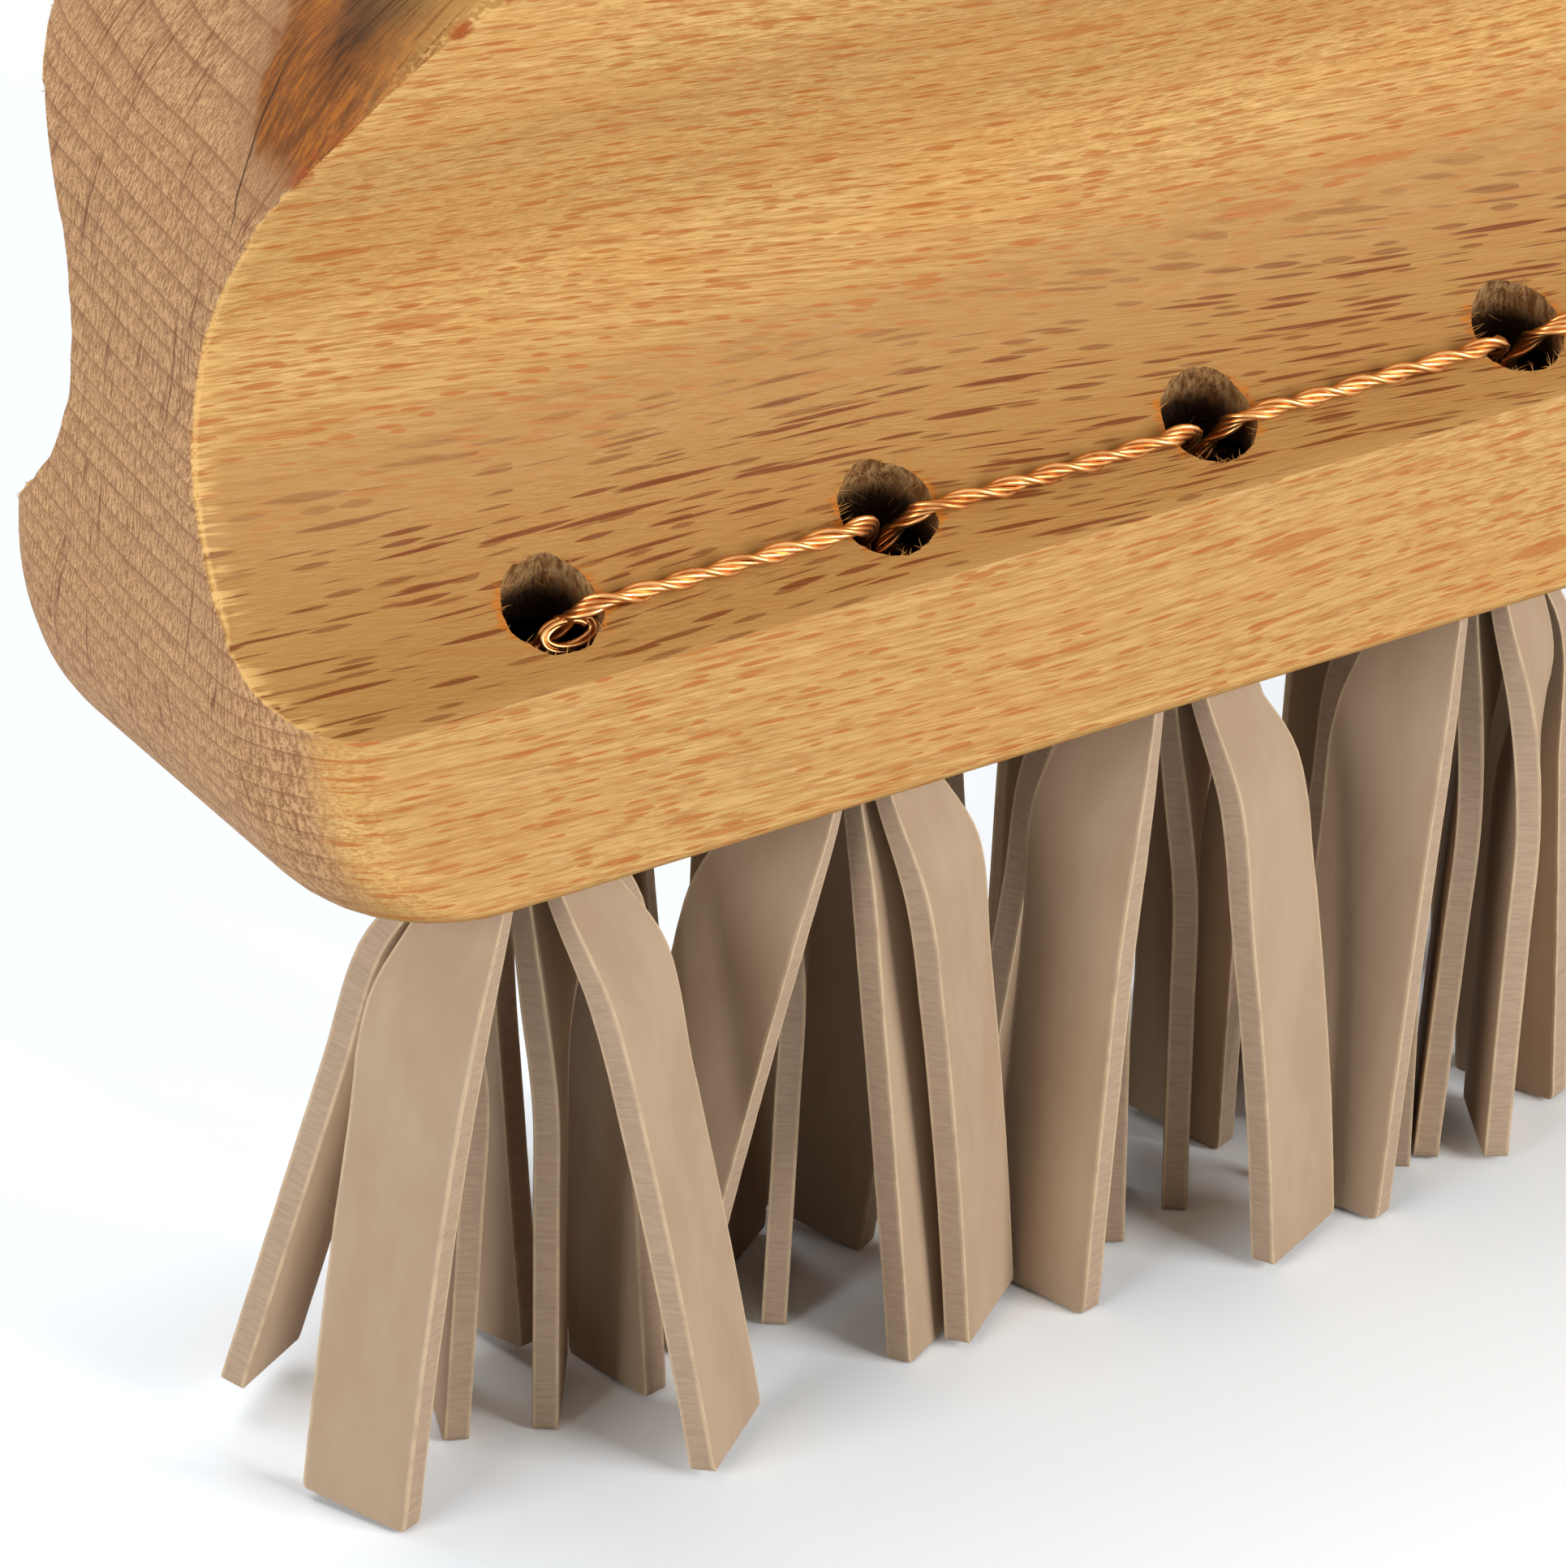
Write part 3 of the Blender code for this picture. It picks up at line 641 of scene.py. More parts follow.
@dataclass(frozen=True)
class Copper:
    """Bright drawn copper, a little browned in patches along the strands."""

    name: str = "copper_strands"
    bright: Colour = rgb(0.93, 0.50, 0.195)
    brown: Colour = rgb(0.48, 0.17, 0.042)
    roughness: float = 0.27

    def build(self) -> bpy.types.Material:
        """Make the material; it reads the strand's own coordinates from the mesh."""
        finish = Finish(self.name)
        graph = finish.graph
        strand = finish.attribute("strand")
        tarnish = graph.noise(graph.mapping(strand, (0.35, 1.0, 1.0)), 1.0, 3.0, 0.6)
        drawn = graph.noise(graph.mapping(strand, (0.5, 30.0, 30.0)), 1.0, 1.0)
        finish.feed(
            Base_Color=graph.blend(graph.remap(tarnish, 0.38, 0.68), self.bright, self.brown),
            Metallic=1.0,
            Roughness=graph.remap(tarnish, 0.3, 0.7, self.roughness - 0.04, self.roughness + 0.12),
        )
        finish.bump(drawn, 0.00001, 0.5)
        return finish.material


@dataclass(frozen=True)
class TornFibre:
    """Loose beech fibres that the drill tore up."""

    name: str = "torn_fibre"
    pale: Colour = rgb(0.72, 0.38, 0.11)
    deep: Colour = rgb(0.46, 0.19, 0.045)

    def build(self) -> bpy.types.Material:
        """Make the material."""
        finish = Finish(self.name)
        graph = finish.graph
        tone = graph.noise(finish.millimetres(), 2.6, 2.0)
        finish.feed(
            Base_Color=graph.blend(graph.remap(tone, 0.35, 0.65), self.pale, self.deep),
            Roughness=0.6, Specular_IOR_Level=0.3,
        )
        return finish.material


@dataclass(frozen=True)
class Paper:
    """The plain pale floor."""

    name: str = "pale_floor"
    albedo: Colour = rgb(0.70, 0.71, 0.72)
    seen_albedo: Colour = rgb(1.20, 1.28, 1.35)

    def build(self) -> bpy.types.Material:
        """Make the material: seen directly it is lifted to white, but keeps its shadow."""
        finish = Finish(self.name)
        graph = finish.graph
        seen = graph.node("ShaderNodeLightPath").outputs["Is Camera Ray"]
        finish.feed(
            Base_Color=graph.blend(seen, self.albedo, self.seen_albedo),
            Roughness=0.9, Specular_IOR_Level=0.0,
        )
        return finish.material


# ---------------------------------------------------------------------- geometry helpers


def smooth_curve(points: list, steps: int) -> list:
    """Points on a smooth curve through the given ones.

    Args:
        points: Vectors that the curve passes through.
        steps: Number of steps from one to the next.

    Returns:
        The points of the curve, the given ones among them.
    """
    curve = []
    last = len(points) - 1
    for index in range(last):
        before = points[max(index - 1, 0)]
        start, end = points[index], points[index + 1]
        after = points[min(index + 2, last)]
        for step in range(steps):
            t = step / steps
            curve.append((
                2 * start
                + (end - before) * t
                + (2 * before - 5 * start + 4 * end - after) * t ** 2
                + (3 * start - before - 3 * end + after) * t ** 3
            ) / 2)
    curve.append(points[last])
    return curve


def merged_copy(node: bpy.types.Object) -> bmesh.types.BMesh:
    """A copy of a node's mesh with its loose triangles joined."""
    shape = bmesh.new()
    shape.from_mesh(node.data)
    bmesh.ops.remove_doubles(shape, verts=shape.verts, dist=1e-6)
    shape.normal_update()
    return shape


def walk_rings(first: list) -> list:
    """Rings of vertices of a lofted shape, from one cut end to the other.

    Args:
        first: The vertices of one cut end.

    Returns:
        Lists of vertices, one list for each cross-section.
    """
    rings, seen = [first], set(first)
    while True:
        after = []
        for vertex in rings[-1]:
            for link in vertex.link_edges:
                other = link.other_vert(vertex)
                if other not in seen:
                    seen.add(other)
                    after.append(other)
        if not after:
            return rings
        rings.append(after)


def gather(start: bmesh.types.BMVert, belongs: Callable) -> list:
    """The vertices that can be reached from one of them over edges that pass a test.

    Args:
        start: The first vertex.
        belongs: The test of an edge and of the vertex at its far end.

    Returns:
        The vertices, the first one among them.
    """
    found, known = [start], {start}
    for vertex in found:
        for link in vertex.link_edges:
            other = link.other_vert(vertex)
            if other not in known and belongs(link, other):
                known.add(other)
                found.append(other)
    return found


def loft(shape: bmesh.types.BMesh, rings: list) -> None:
    """Join rings of vertices, first to last, to a body with closed ends."""
    for lower, upper in zip(rings, rings[1:]):
        for index, corner in enumerate(lower):
            after = (index + 1) % len(lower)
            shape.faces.new((corner, lower[after], upper[after], upper[index]))
    shape.faces.new(list(reversed(rings[0])))
    shape.faces.new(rings[-1])


def placed(name: str, data: bpy.types.ID) -> bpy.types.Object:
    """A new object that stands in the scene."""
    thing = bpy.data.objects.new(name, data)
    bpy.context.scene.collection.objects.link(thing)
    return thing


def solid(name: str, shape: bmesh.types.BMesh, *finishes: bpy.types.Material) -> bpy.types.Object:
    """A new piece made of a shape, which is then freed."""
    mesh = bpy.data.meshes.new(name)
    shape.to_mesh(mesh)
    shape.free()
    for finish in finishes:
        mesh.materials.append(finish)
    return placed(name, mesh)


def baked(source: bpy.types.Object, name: str) -> bpy.types.Object:
    """A plain piece from a source object with live modifiers, which is then removed."""
    depsgraph = bpy.context.evaluated_depsgraph_get()
    depsgraph.update()
    mesh = bpy.data.meshes.new_from_object(
        source.evaluated_get(depsgraph), preserve_all_data_layers=True, depsgraph=depsgraph
    )
    mesh.name = name
    bpy.data.objects.remove(source, do_unlink=True)
    return placed(name, mesh)


def settle(piece: bpy.types.Object, slot: Slot, *nodes: str) -> None:
    """Hang a finished piece on the body and hide the nodes that it stands for."""
    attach(piece, ROOT)
    if nodes:
        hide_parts(*nodes)
    piece.data.calc_loop_triangles()
    LOG.info("%s: %d triangles", piece.name, len(piece.data.loop_triangles))


class ShapeTree(Graph):
    """A Geometry Nodes tree with named inputs."""

    def __init__(self, name: str) -> None:
        """Start the tree with a geometry going in and one coming out."""
        super().__init__(bpy.data.node_groups.new(name, "GeometryNodeTree"))
        self.identifiers: dict[str, str] = {}
        for way in ("INPUT", "OUTPUT"):
            self.tree.interface.new_socket(
                "Geometry", in_out=way, socket_type="NodeSocketGeometry")
        self.start = self.tree.nodes.new("NodeGroupInput")
        self.end = self.tree.nodes.new("NodeGroupOutput")

    def value(self, name: str, default) -> bpy.types.NodeSocket:
        """Add a named input.

        Args:
            name: Its name.
            default: Its value: a whole number, a number or None for a material.

        Returns:
            The socket that carries it.
        """
        kinds = {int: "NodeSocketInt", float: "NodeSocketFloat", type(None): "NodeSocketMaterial"}
        made = self.tree.interface.new_socket(
            name, in_out="INPUT", socket_type=kinds[type(default)])
        if default is not None:
            made.default_value = default
        self.identifiers[name] = made.identifier
        return self.start.outputs[name]

    def named(self, name: str, kind: str = "FLOAT") -> bpy.types.NodeSocket:
        """A value that the geometry carries by name."""
        made = self.node("GeometryNodeInputNamedAttribute", {"data_type": kind}, {"Name": name})
        return made.outputs["Attribute"]

    def keep(self, geometry, name: str, value, kind: str = "FLOAT") -> bpy.types.NodeSocket:
        """Store a value by name on every point."""
        settings = {"data_type": kind, "domain": "POINT"}
        feeds = {"Geometry": geometry, "Name": name, "Value": value}
        return self.node("GeometryNodeStoreNamedAttribute", settings, feeds).outputs[0]

    def circle(self, sides: int, radius) -> bpy.types.NodeSocket:
        """A round outline to sweep along a path."""
        feeds = {"Resolution": sides, "Radius": radius}
        return self.node("GeometryNodeCurvePrimitiveCircle", None, feeds).outputs[0]

    def moved(self, geometry, **places) -> bpy.types.NodeSocket:
        """A geometry whose points are given an offset or a position."""
        feeds = {"Geometry": geometry, **places}
        return self.node("GeometryNodeSetPosition", None, feeds).outputs[0]

    def swept(self, line, ring, **feeds) -> bpy.types.NodeSocket:
        """A closed body that an outline leaves along a path."""
        feeds = {"Curve": line, "Profile Curve": ring, **feeds, "Fill Caps": True}
        return self.node("GeometryNodeCurveToMesh", None, feeds).outputs[0]

    def finish(self, geometry, finish) -> None:
        """End the tree: realize what is left of instances, shade smooth and set the material."""
        real = self.node("GeometryNodeRealizeInstances", None, {0: geometry}).outputs[0]
        smooth = self.node("GeometryNodeSetShadeSmooth", None, {"Geometry": real}).outputs[0]
        feeds = {"Geometry": smooth, "Material": finish}
        done = self.node("GeometryNodeSetMaterial", None, feeds).outputs[0]
        self.tree.links.new(done, self.end.inputs[0])

    def apply(self, source: bpy.types.Object, **values) -> None:
        """Put the tree on an object as a modifier, before the object is first evaluated.

        Args:
            source: The object.
            values: Values of the named inputs; underscores stand for spaces.
        """
        modifier = source.modifiers.new(self.tree.name, "NODES")
        modifier.node_group = self.tree
        for name, value in values.items():
            modifier[self.identifiers[name.replace("_", " ")]] = value


def path_object(name: str, points: list, attributes: dict) -> bpy.types.Object:
    """A chain of edges that carries values by name.

    Args:
        name: Name of the object.
        points: The chain's points.
        attributes: Lists of numbers or vectors by name, one entry for each point.

    Returns:
        The object.
    """
    mesh = bpy.data.meshes.new(name)
    mesh.from_pydata([tuple(p) for p in points], [(i, i + 1) for i in range(len(points) - 1)], [])
    for key, values in attributes.items():
        if isinstance(values[0], float):
            layer = mesh.attributes.new(key, "FLOAT", "POINT")
            layer.data.foreach_set("value", values)
        else:
            layer = mesh.attributes.new(key, "FLOAT_VECTOR", "POINT")
            layer.data.foreach_set("vector", [part for value in values for part in value])
    return placed(name, mesh)


# ---------------------------------------------------------------------------- sub-assemblies


@dataclass
class BeechBack:
    """The wooden back: its profile, its round corners, its bores and their torn rims."""

    underside: float = 0.0335
    length: float = 0.1710
    width: float = 0.0300
    height: float = 0.0540
    crest: float = 0.0480
    crest_edge: float = 0.0060
    flange: float = 0.0119
    foot_length: float = 0.0080
    waist: float = 0.0117
    lip_radius: float = 0.0004
    lower_radius: float = 0.0012
    corner_radius: float = 0.0056
    sawn_radius: float = 0.0003
    end_lean: float = 0.06
    upper_start: float = 0.0300
    upper_length: float = 0.0335
    upper_power: float = 2.25
    groove: tuple = (
        (0.000, 0.000), (0.028, 0.220), (0.067, 0.430), (0.125, 0.660), (0.200, 0.865),
        (0.320, 1.000), (0.475, 0.905), (0.640, 0.590), (0.800, 0.250), (1.000, 0.000),
    )
    tuft_count: int = 8
    tuft_pitch: float = 0.0185
    row_offset: float = 0.0080
    row_shift: float = 0.0045
    bore_diameter: float = 0.00982
    bore_depth: float = 0.01135
    hole_diameter: float = 0.0050
    hole_offset: float = 0.0116
    hole_tilt: float = math.radians(25)
    hole_depth: float = 0.0062
    end_shares: tuple = (0.0, 0.25, 0.5, 0.72, 0.88)
    corner_steps: int = 8
    columns: tuple = (0.0003, 0.0010, 0.0022, 0.0042, 0.0075, 0.0125)
    bore_levels: int = 14
    bore_overshoot: float = 0.002
    hole_overshoot: float = 0.006
    rim_wander: float = 0.00019
    rim_scale: float = 750.0
    edge_wander: float = 0.00008
    edge_scale: float = 900.0
    edge_reach: float = 0.0020
    edge_limit: float = 0.78
    sharp_angle: float = math.radians(32)

    def outline(self) -> list:
        """Heights above the underside with their half widths, lowest first."""
        half = self.width / 2
        points = []
        for step in range(7):
            angle = math.pi / 2 * step / 6
            points.append((
                self.lower_radius * (1 - math.cos(angle)),
                half - self.lower_radius * (1 - math.sin(angle)),
            ))
        plain = self.flange - self.lip_radius - self.lower_radius
        points += [(self.lower_radius + plain * step / 14, half) for step in range(1, 15)]
        rise, depth = self.crest - self.flange, (self.width - self.waist) / 2
        knots = [
            Vector((self.flange + rise * up, half - depth * inwards))
            for up, inwards in self.groove
        ]
        knots[0].y -= self.lip_radius
        points += [(point.x, point.y) for point in smooth_curve(knots, 8)]
        for step in range(1, 11):
            angle = math.pi / 2 * step / 10
            points.append((
                self.crest + (self.height - self.crest) * math.sin(angle),
                half - self.crest_edge * (1 - math.cos(angle)),
            ))
        return points

    def half_length(self, height: float) -> float:
        """Half the length of the back at a height above its underside."""
        inset = self.end_lean * max(height - self.flange, 0.0)
        if height < self.flange:
            below = 1 - height / self.flange
            inset = self.foot_length * (1 - math.sqrt(1 - below ** 2))
        elif height > self.upper_start:
            above = min((height - self.upper_start) / (self.height - self.upper_start), 1.0)
            above **= self.upper_power
            inset += self.upper_length * (1 - (1 - above) ** (1 / self.upper_power))
        return self.length / 2 - inset

    def quarter(self, half_x: float, half_y: float, height: float) -> list:
        """One quarter of the outline seen from above, from the end's middle to the side's."""
        radius, sweep = self.corner_radius, math.pi / 2
        if height >= self.flange:
            reach = half_y - (self.width / 2 - self.corner_radius)
            if reach > self.sawn_radius:
                sweep = math.asin(min(reach / radius, 1.0))
            else:
                radius = self.sawn_radius
        arc = []
        for step in range(self.corner_steps + 1):
            angle = sweep * step / self.corner_steps
            arc.append((
                half_x - radius * (1 - math.cos(angle)),
                half_y - radius * (math.sin(sweep) - math.sin(angle)),
            ))
        points = [(half_x, arc[0][1] * share) for share in self.end_shares]
        points += arc
        side_x, side_y = arc[-1]
        points += [(side_x - inset, side_y) for inset in self.columns]
        return points

    def ring(self, height: float, half_width: float) -> list:
        """The outline at one height, counter-clockwise from the middle of the far end."""
        quarter = self.quarter(self.half_length(height), half_width, height)
        side_x, side_y = quarter[-1]
        centre = [(side_x * share, side_y) for share in (0.66, 0.33, 0.0, -0.33, -0.66)]
        points = list(quarter) + centre
        points += [(-x, y) for x, y in reversed(quarter)]
        points += [(-x, -y) for x, y in quarter[1:]]
        points += [(-x, -y) for x, y in centre]
        points += [(x, -y) for x, y in reversed(quarter[1:])]
        return points

    def tuft_x(self, index: int) -> float:
        """Place of a front tuft along the row."""
        return self.tuft_pitch * (index - (self.tuft_count - 1) / 2) - self.row_shift

    def surface_height(self, offset: float) -> float:
        """Height above the floor of the groove's lower slope at an offset from the middle."""
        points = [point for point in self.outline() if point[0] >= self.flange]
        for (low, wide), (high, narrow) in zip(points, points[1:]):
            if narrow <= offset <= wide:
                return self.underside + low + (high - low) * (wide - offset) / (wide - narrow)
        return self.underside + self.flange

    def hole_mouth(self, index: int) -> Vector:
        """Where the axis of a front wire hole meets the groove."""
        height = self.surface_height(self.hole_offset)
        return Vector((self.tuft_x(index), -self.hole_offset, height))

    def hole_axis(self) -> Vector:
        """Direction of the front wire holes, up and out of the wood."""
        return Vector((0, -math.sin(self.hole_tilt), math.cos(self.hole_tilt)))

    def board(self) -> bmesh.types.BMesh:
        """The board before it is bored, with slightly uneven sawn edges."""
        shape = bmesh.new()
        rows = []
        for height, half_width in self.outline():
            row = [
                shape.verts.new((x, y, self.underside + height))
                for x, y in self.ring(height, half_width)
            ]
            rows.append(row)
        loft(shape, rows)
        for vertex in shape.verts:
            if self.edge_closeness(vertex.co) > self.edge_limit:
                sample = vertex.co * self.edge_scale
                vertex.co += noise.noise_vector(sample) * self.edge_wander
        bmesh.ops.recalc_face_normals(shape, faces=shape.faces)
        return shape

    def edge_closeness(self, point: Vector) -> float:
        """How close a point is to the edge between the groove and the sawn end, from 0 to 1."""
        height = point.z - self.underside
        if not self.flange + 0.0003 < height < self.crest:
            return 0.0
        x, y = self.edge_point(height)
        away = math.hypot(abs(point.x) - x, abs(point.y) - y)
        return max(0.0, 1.0 - away / self.edge_reach)

    def edge_point(self, height: float) -> tuple:
        """Where the groove meets the rounded corner at a height above the underside."""
        points = self.quarter(self.half_length(height), self.half_width(height), height)
        return points[len(self.end_shares) + self.corner_steps]

    def half_width(self, height: float) -> float:
        """Half width of the board at a height above its underside."""
        return float(np.interp(height, self.table[:, 0], self.table[:, 1]))

    @cached_property
    def table(self) -> np.ndarray:
        """The outline's heights and half widths as two columns."""
        return np.array(self.outline())

    def cutter(
        self, name: str, diameter: float, sides: int, places: list, finish: bpy.types.Material
    ) -> bpy.types.Object:
        """Separate cylinders with slightly uneven walls that are cut out of the board.

        Args:
            name: Name of the piece.
            diameter: Diameter of each cylinder.
            sides: Number of sides of each cylinder.
            places: Start, direction and length of each cylinder.
            finish: Material of the walls.

        Returns:
            The piece.
        """
        shape = bmesh.new()
        for start, axis, length in places:
            turn = axis.to_track_quat("Z", "Y").to_matrix().to_4x4()
            rows = []
            for level in range(self.bore_levels + 1):
                row = []
                for side in range(sides):
                    angle = TURN * side / sides
                    point = Vector((math.cos(angle), math.sin(angle), 0)) * (diameter / 2)
                    point.z = length * level / self.bore_levels
                    sample = (start + point) * self.rim_scale
                    swell = noise.noise(sample) + 0.6 * noise.noise(sample * 2.7)
                    point.xy *= 1 + swell * self.rim_wander / (diameter / 2)
                    row.append(shape.verts.new(start + turn @ point))
                rows.append(row)
            loft(shape, rows)
        bmesh.ops.recalc_face_normals(shape, faces=shape.faces)
        return solid(name, shape, finish)

    def build(self, beech: bpy.types.Material, bored: bpy.types.Material) -> bpy.types.Object:
        """Make the board, cut its bores and mark the edges that the finish reads.

        Args:
            beech: Finish of the planed and sawn faces.
            bored: Finish of the walls of the bores.

        Returns:
            The finished piece.
        """
        board = solid("board", self.board(), beech, bored)
        bores, holes = [], []
        below = self.underside - self.bore_overshoot
        bore_length = self.bore_depth + self.bore_overshoot
        hole_length = self.hole_depth + self.hole_overshoot
        for index in range(self.tuft_count):
            foot = Vector((self.tuft_x(index), -self.row_offset, below))
            deep = self.hole_mouth(index) - self.hole_axis() * self.hole_depth
            for row in Row:
                bores.append((row.place(foot), Vector((0, 0, 1)), bore_length))
                holes.append((row.place(deep), row.place(self.hole_axis()), hole_length))
        cutters = (
            self.cutter("bores", self.bore_diameter, 40, bores, bored),
            self.cutter("wire_holes", self.hole_diameter, 48, holes, bored),
        )
        for tool in cutters:
            cut = board.modifiers.new(tool.name, "BOOLEAN")
            cut.operation = "DIFFERENCE"
            cut.solver = "EXACT"
            cut.material_mode = "TRANSFER"
            cut.object = tool
        piece = baked(board, "beech_back")
        for tool in cutters:
            bpy.data.objects.remove(tool, do_unlink=True)
        piece.data.shade_smooth()
        piece.data.set_sharp_from_angle(angle=self.sharp_angle)
        layer = piece.data.attributes.new("edge", "FLOAT", "POINT")
        layer.data.foreach_set("value", [self.edge_closeness(v.co) for v in piece.data.vertices])
        settle(piece, Slot.BEECH, "back")
        return piece


@dataclass
class TornRims:
    """Loose fibres at the rims of the wire holes and along the sawn edge."""

    back: BeechBack
    fibre_radius: float = 0.000022
    bend: float = 0.28
    rim_count: int = 70
    edge_count: int = 380
    seed: int = 7

    def tree(self) -> ShapeTree:
        """One bent, tapering fibre on every point, turned and scaled at random."""
        tree = ShapeTree("torn_fibres")
        radius = tree.value("Fibre Radius", 0.00003)
        bend = tree.value("Bend", 0.5)
        seed = tree.value("Seed", 7)
        finish = tree.value("Finish", None)
        line = tree.node("GeometryNodeCurvePrimitiveLine", None, {"End": (0, 0, 1)}).outputs[0]
        line = tree.node("GeometryNodeResampleCurve", None, {"Curve": line, "Count": 5}).outputs[0]
        where = tree.node("GeometryNodeInputPosition").outputs[0]
        up = tree.split(where)[2]
        curl = tree.xyz(tree.math("MULTIPLY", tree.math("POWER", up, 2.0), bend), 0.0, 0.0)
        line = tree.moved(line, Offset=curl)
        ring = tree.circle(3, 1.0)
        length = tree.named("fibre_length")
        points = tree.node("GeometryNodeMeshToPoints", None, {"Mesh": tree.start.outputs[0]})
        turn = tree.node(
            "FunctionNodeAlignRotationToVector", {"axis": "Z"},
            {"Vector": tree.named("rise", VECTORS)},
        ).outputs[0]
        spin = tree.node(
            "FunctionNodeRandomValue", {"data_type": "FLOAT"}, {2: 0.0, 3: TURN, "Seed": seed})
        spun = tree.node(
            "FunctionNodeRotateRotation", {"rotation_space": "LOCAL"},
            {0: turn, 1: tree.node(
                "FunctionNodeAxisAngleToRotation", None,
                {"Axis": (0, 0, 1), "Angle": spin.outputs[1]}).outputs[0]},
        ).outputs[0]
        slim = tree.math("MULTIPLY", tree.math("SUBTRACT", 1.1, up), 0.05)
        blade = tree.swept(line, ring, Scale=slim)
        wide = tree.math("MULTIPLY", radius, 20.0)
        size = tree.xyz(wide, wide, length)
        grown = tree.node("GeometryNodeInstanceOnPoints", None, {
            "Points": points.outputs[0], "Instance": blade, "Rotation": spun, "Scale": size,
        })
        tree.finish(grown.outputs[0], finish)
        return tree

    def rim_points(self, shell: BVHTree, index: int, row: Row, dice: random.Random) -> list:
        """Places, directions and lengths of the fibres round one hole."""
        mouth, axis = self.back.hole_mouth(index), self.back.hole_axis()
        side = Vector((1, 0, 0))
        over = axis.cross(side)
        grown = []
        for _ in range(self.rim_count):
            angle = dice.uniform(0, TURN)
            out = side * math.cos(angle) + over * math.sin(angle)
            reach = self.back.hole_diameter / 2 * dice.uniform(0.985, 1.03)
            start = row.place(mouth + out * reach + axis * 0.01)
            hit, normal, _, _ = shell.ray_cast(start, -row.place(axis))
            if hit is None:
                continue
            lean = -0.9 if dice.random() < 0.55 else 0.35
            rise = normal * dice.uniform(0.25, 0.9) + row.place(out) * lean * dice.uniform(0.3, 1.0)
            rise += row.place(side) * dice.uniform(-1.0, 1.0) * 0.9
            grown.append((hit - normal * 0.00003, rise.normalized(), dice.uniform(0.0002, 0.00085)))
        return grown

    def edge_points(self, end: int, dice: random.Random) -> list:
        """Places, directions and lengths of the fibres along the groove's sawn edges."""
        back = self.back
        grown = []
        for _ in range(self.edge_count):
            height = back.flange + 0.0006 + dice.random() * (back.crest - back.flange - 0.001)
            x, y = back.edge_point(height)
            side = dice.choice((-1, 1))
            place = Vector((end * x, side * y, back.underside + height))
            ahead, aside = end * dice.uniform(0.2, 1.0), side * dice.uniform(0.1, 0.9)
            rise = Vector((ahead, aside, dice.uniform(-0.5, 0.5)))
            inward = Vector((-end, -side, 0)) * 0.00006
            grown.append((place + inward, rise.normalized(), dice.uniform(0.00010, 0.00032)))
        return grown

    def build(self, shell: BVHTree, finish: bpy.types.Material) -> bpy.types.Object:
        """Grow the fibres.

        Args:
            shell: The finished back, as a tree that rays can be cast at.
            finish: Material of the fibres.

        Returns:
            The finished piece.
        """
        dice = random.Random(self.seed)
        grown = []
        for row in Row:
            for index in range(self.back.tuft_count):
                grown += self.rim_points(shell, index, row, dice)
        for end in (-1, 1):
            grown += self.edge_points(end, dice)
        seeds = path_object("fibre_seeds", [place for place, _, _ in grown], {
            "rise": [rise for _, rise, _ in grown],
            "fibre_length": [length for _, _, length in grown],
        })
        self.tree().apply(
            seeds, Fibre_Radius=self.fibre_radius, Bend=self.bend, Seed=self.seed, Finish=finish
        )
        piece = baked(seeds, "torn_fibres")
        settle(piece, Slot.BEECH)
        return piece


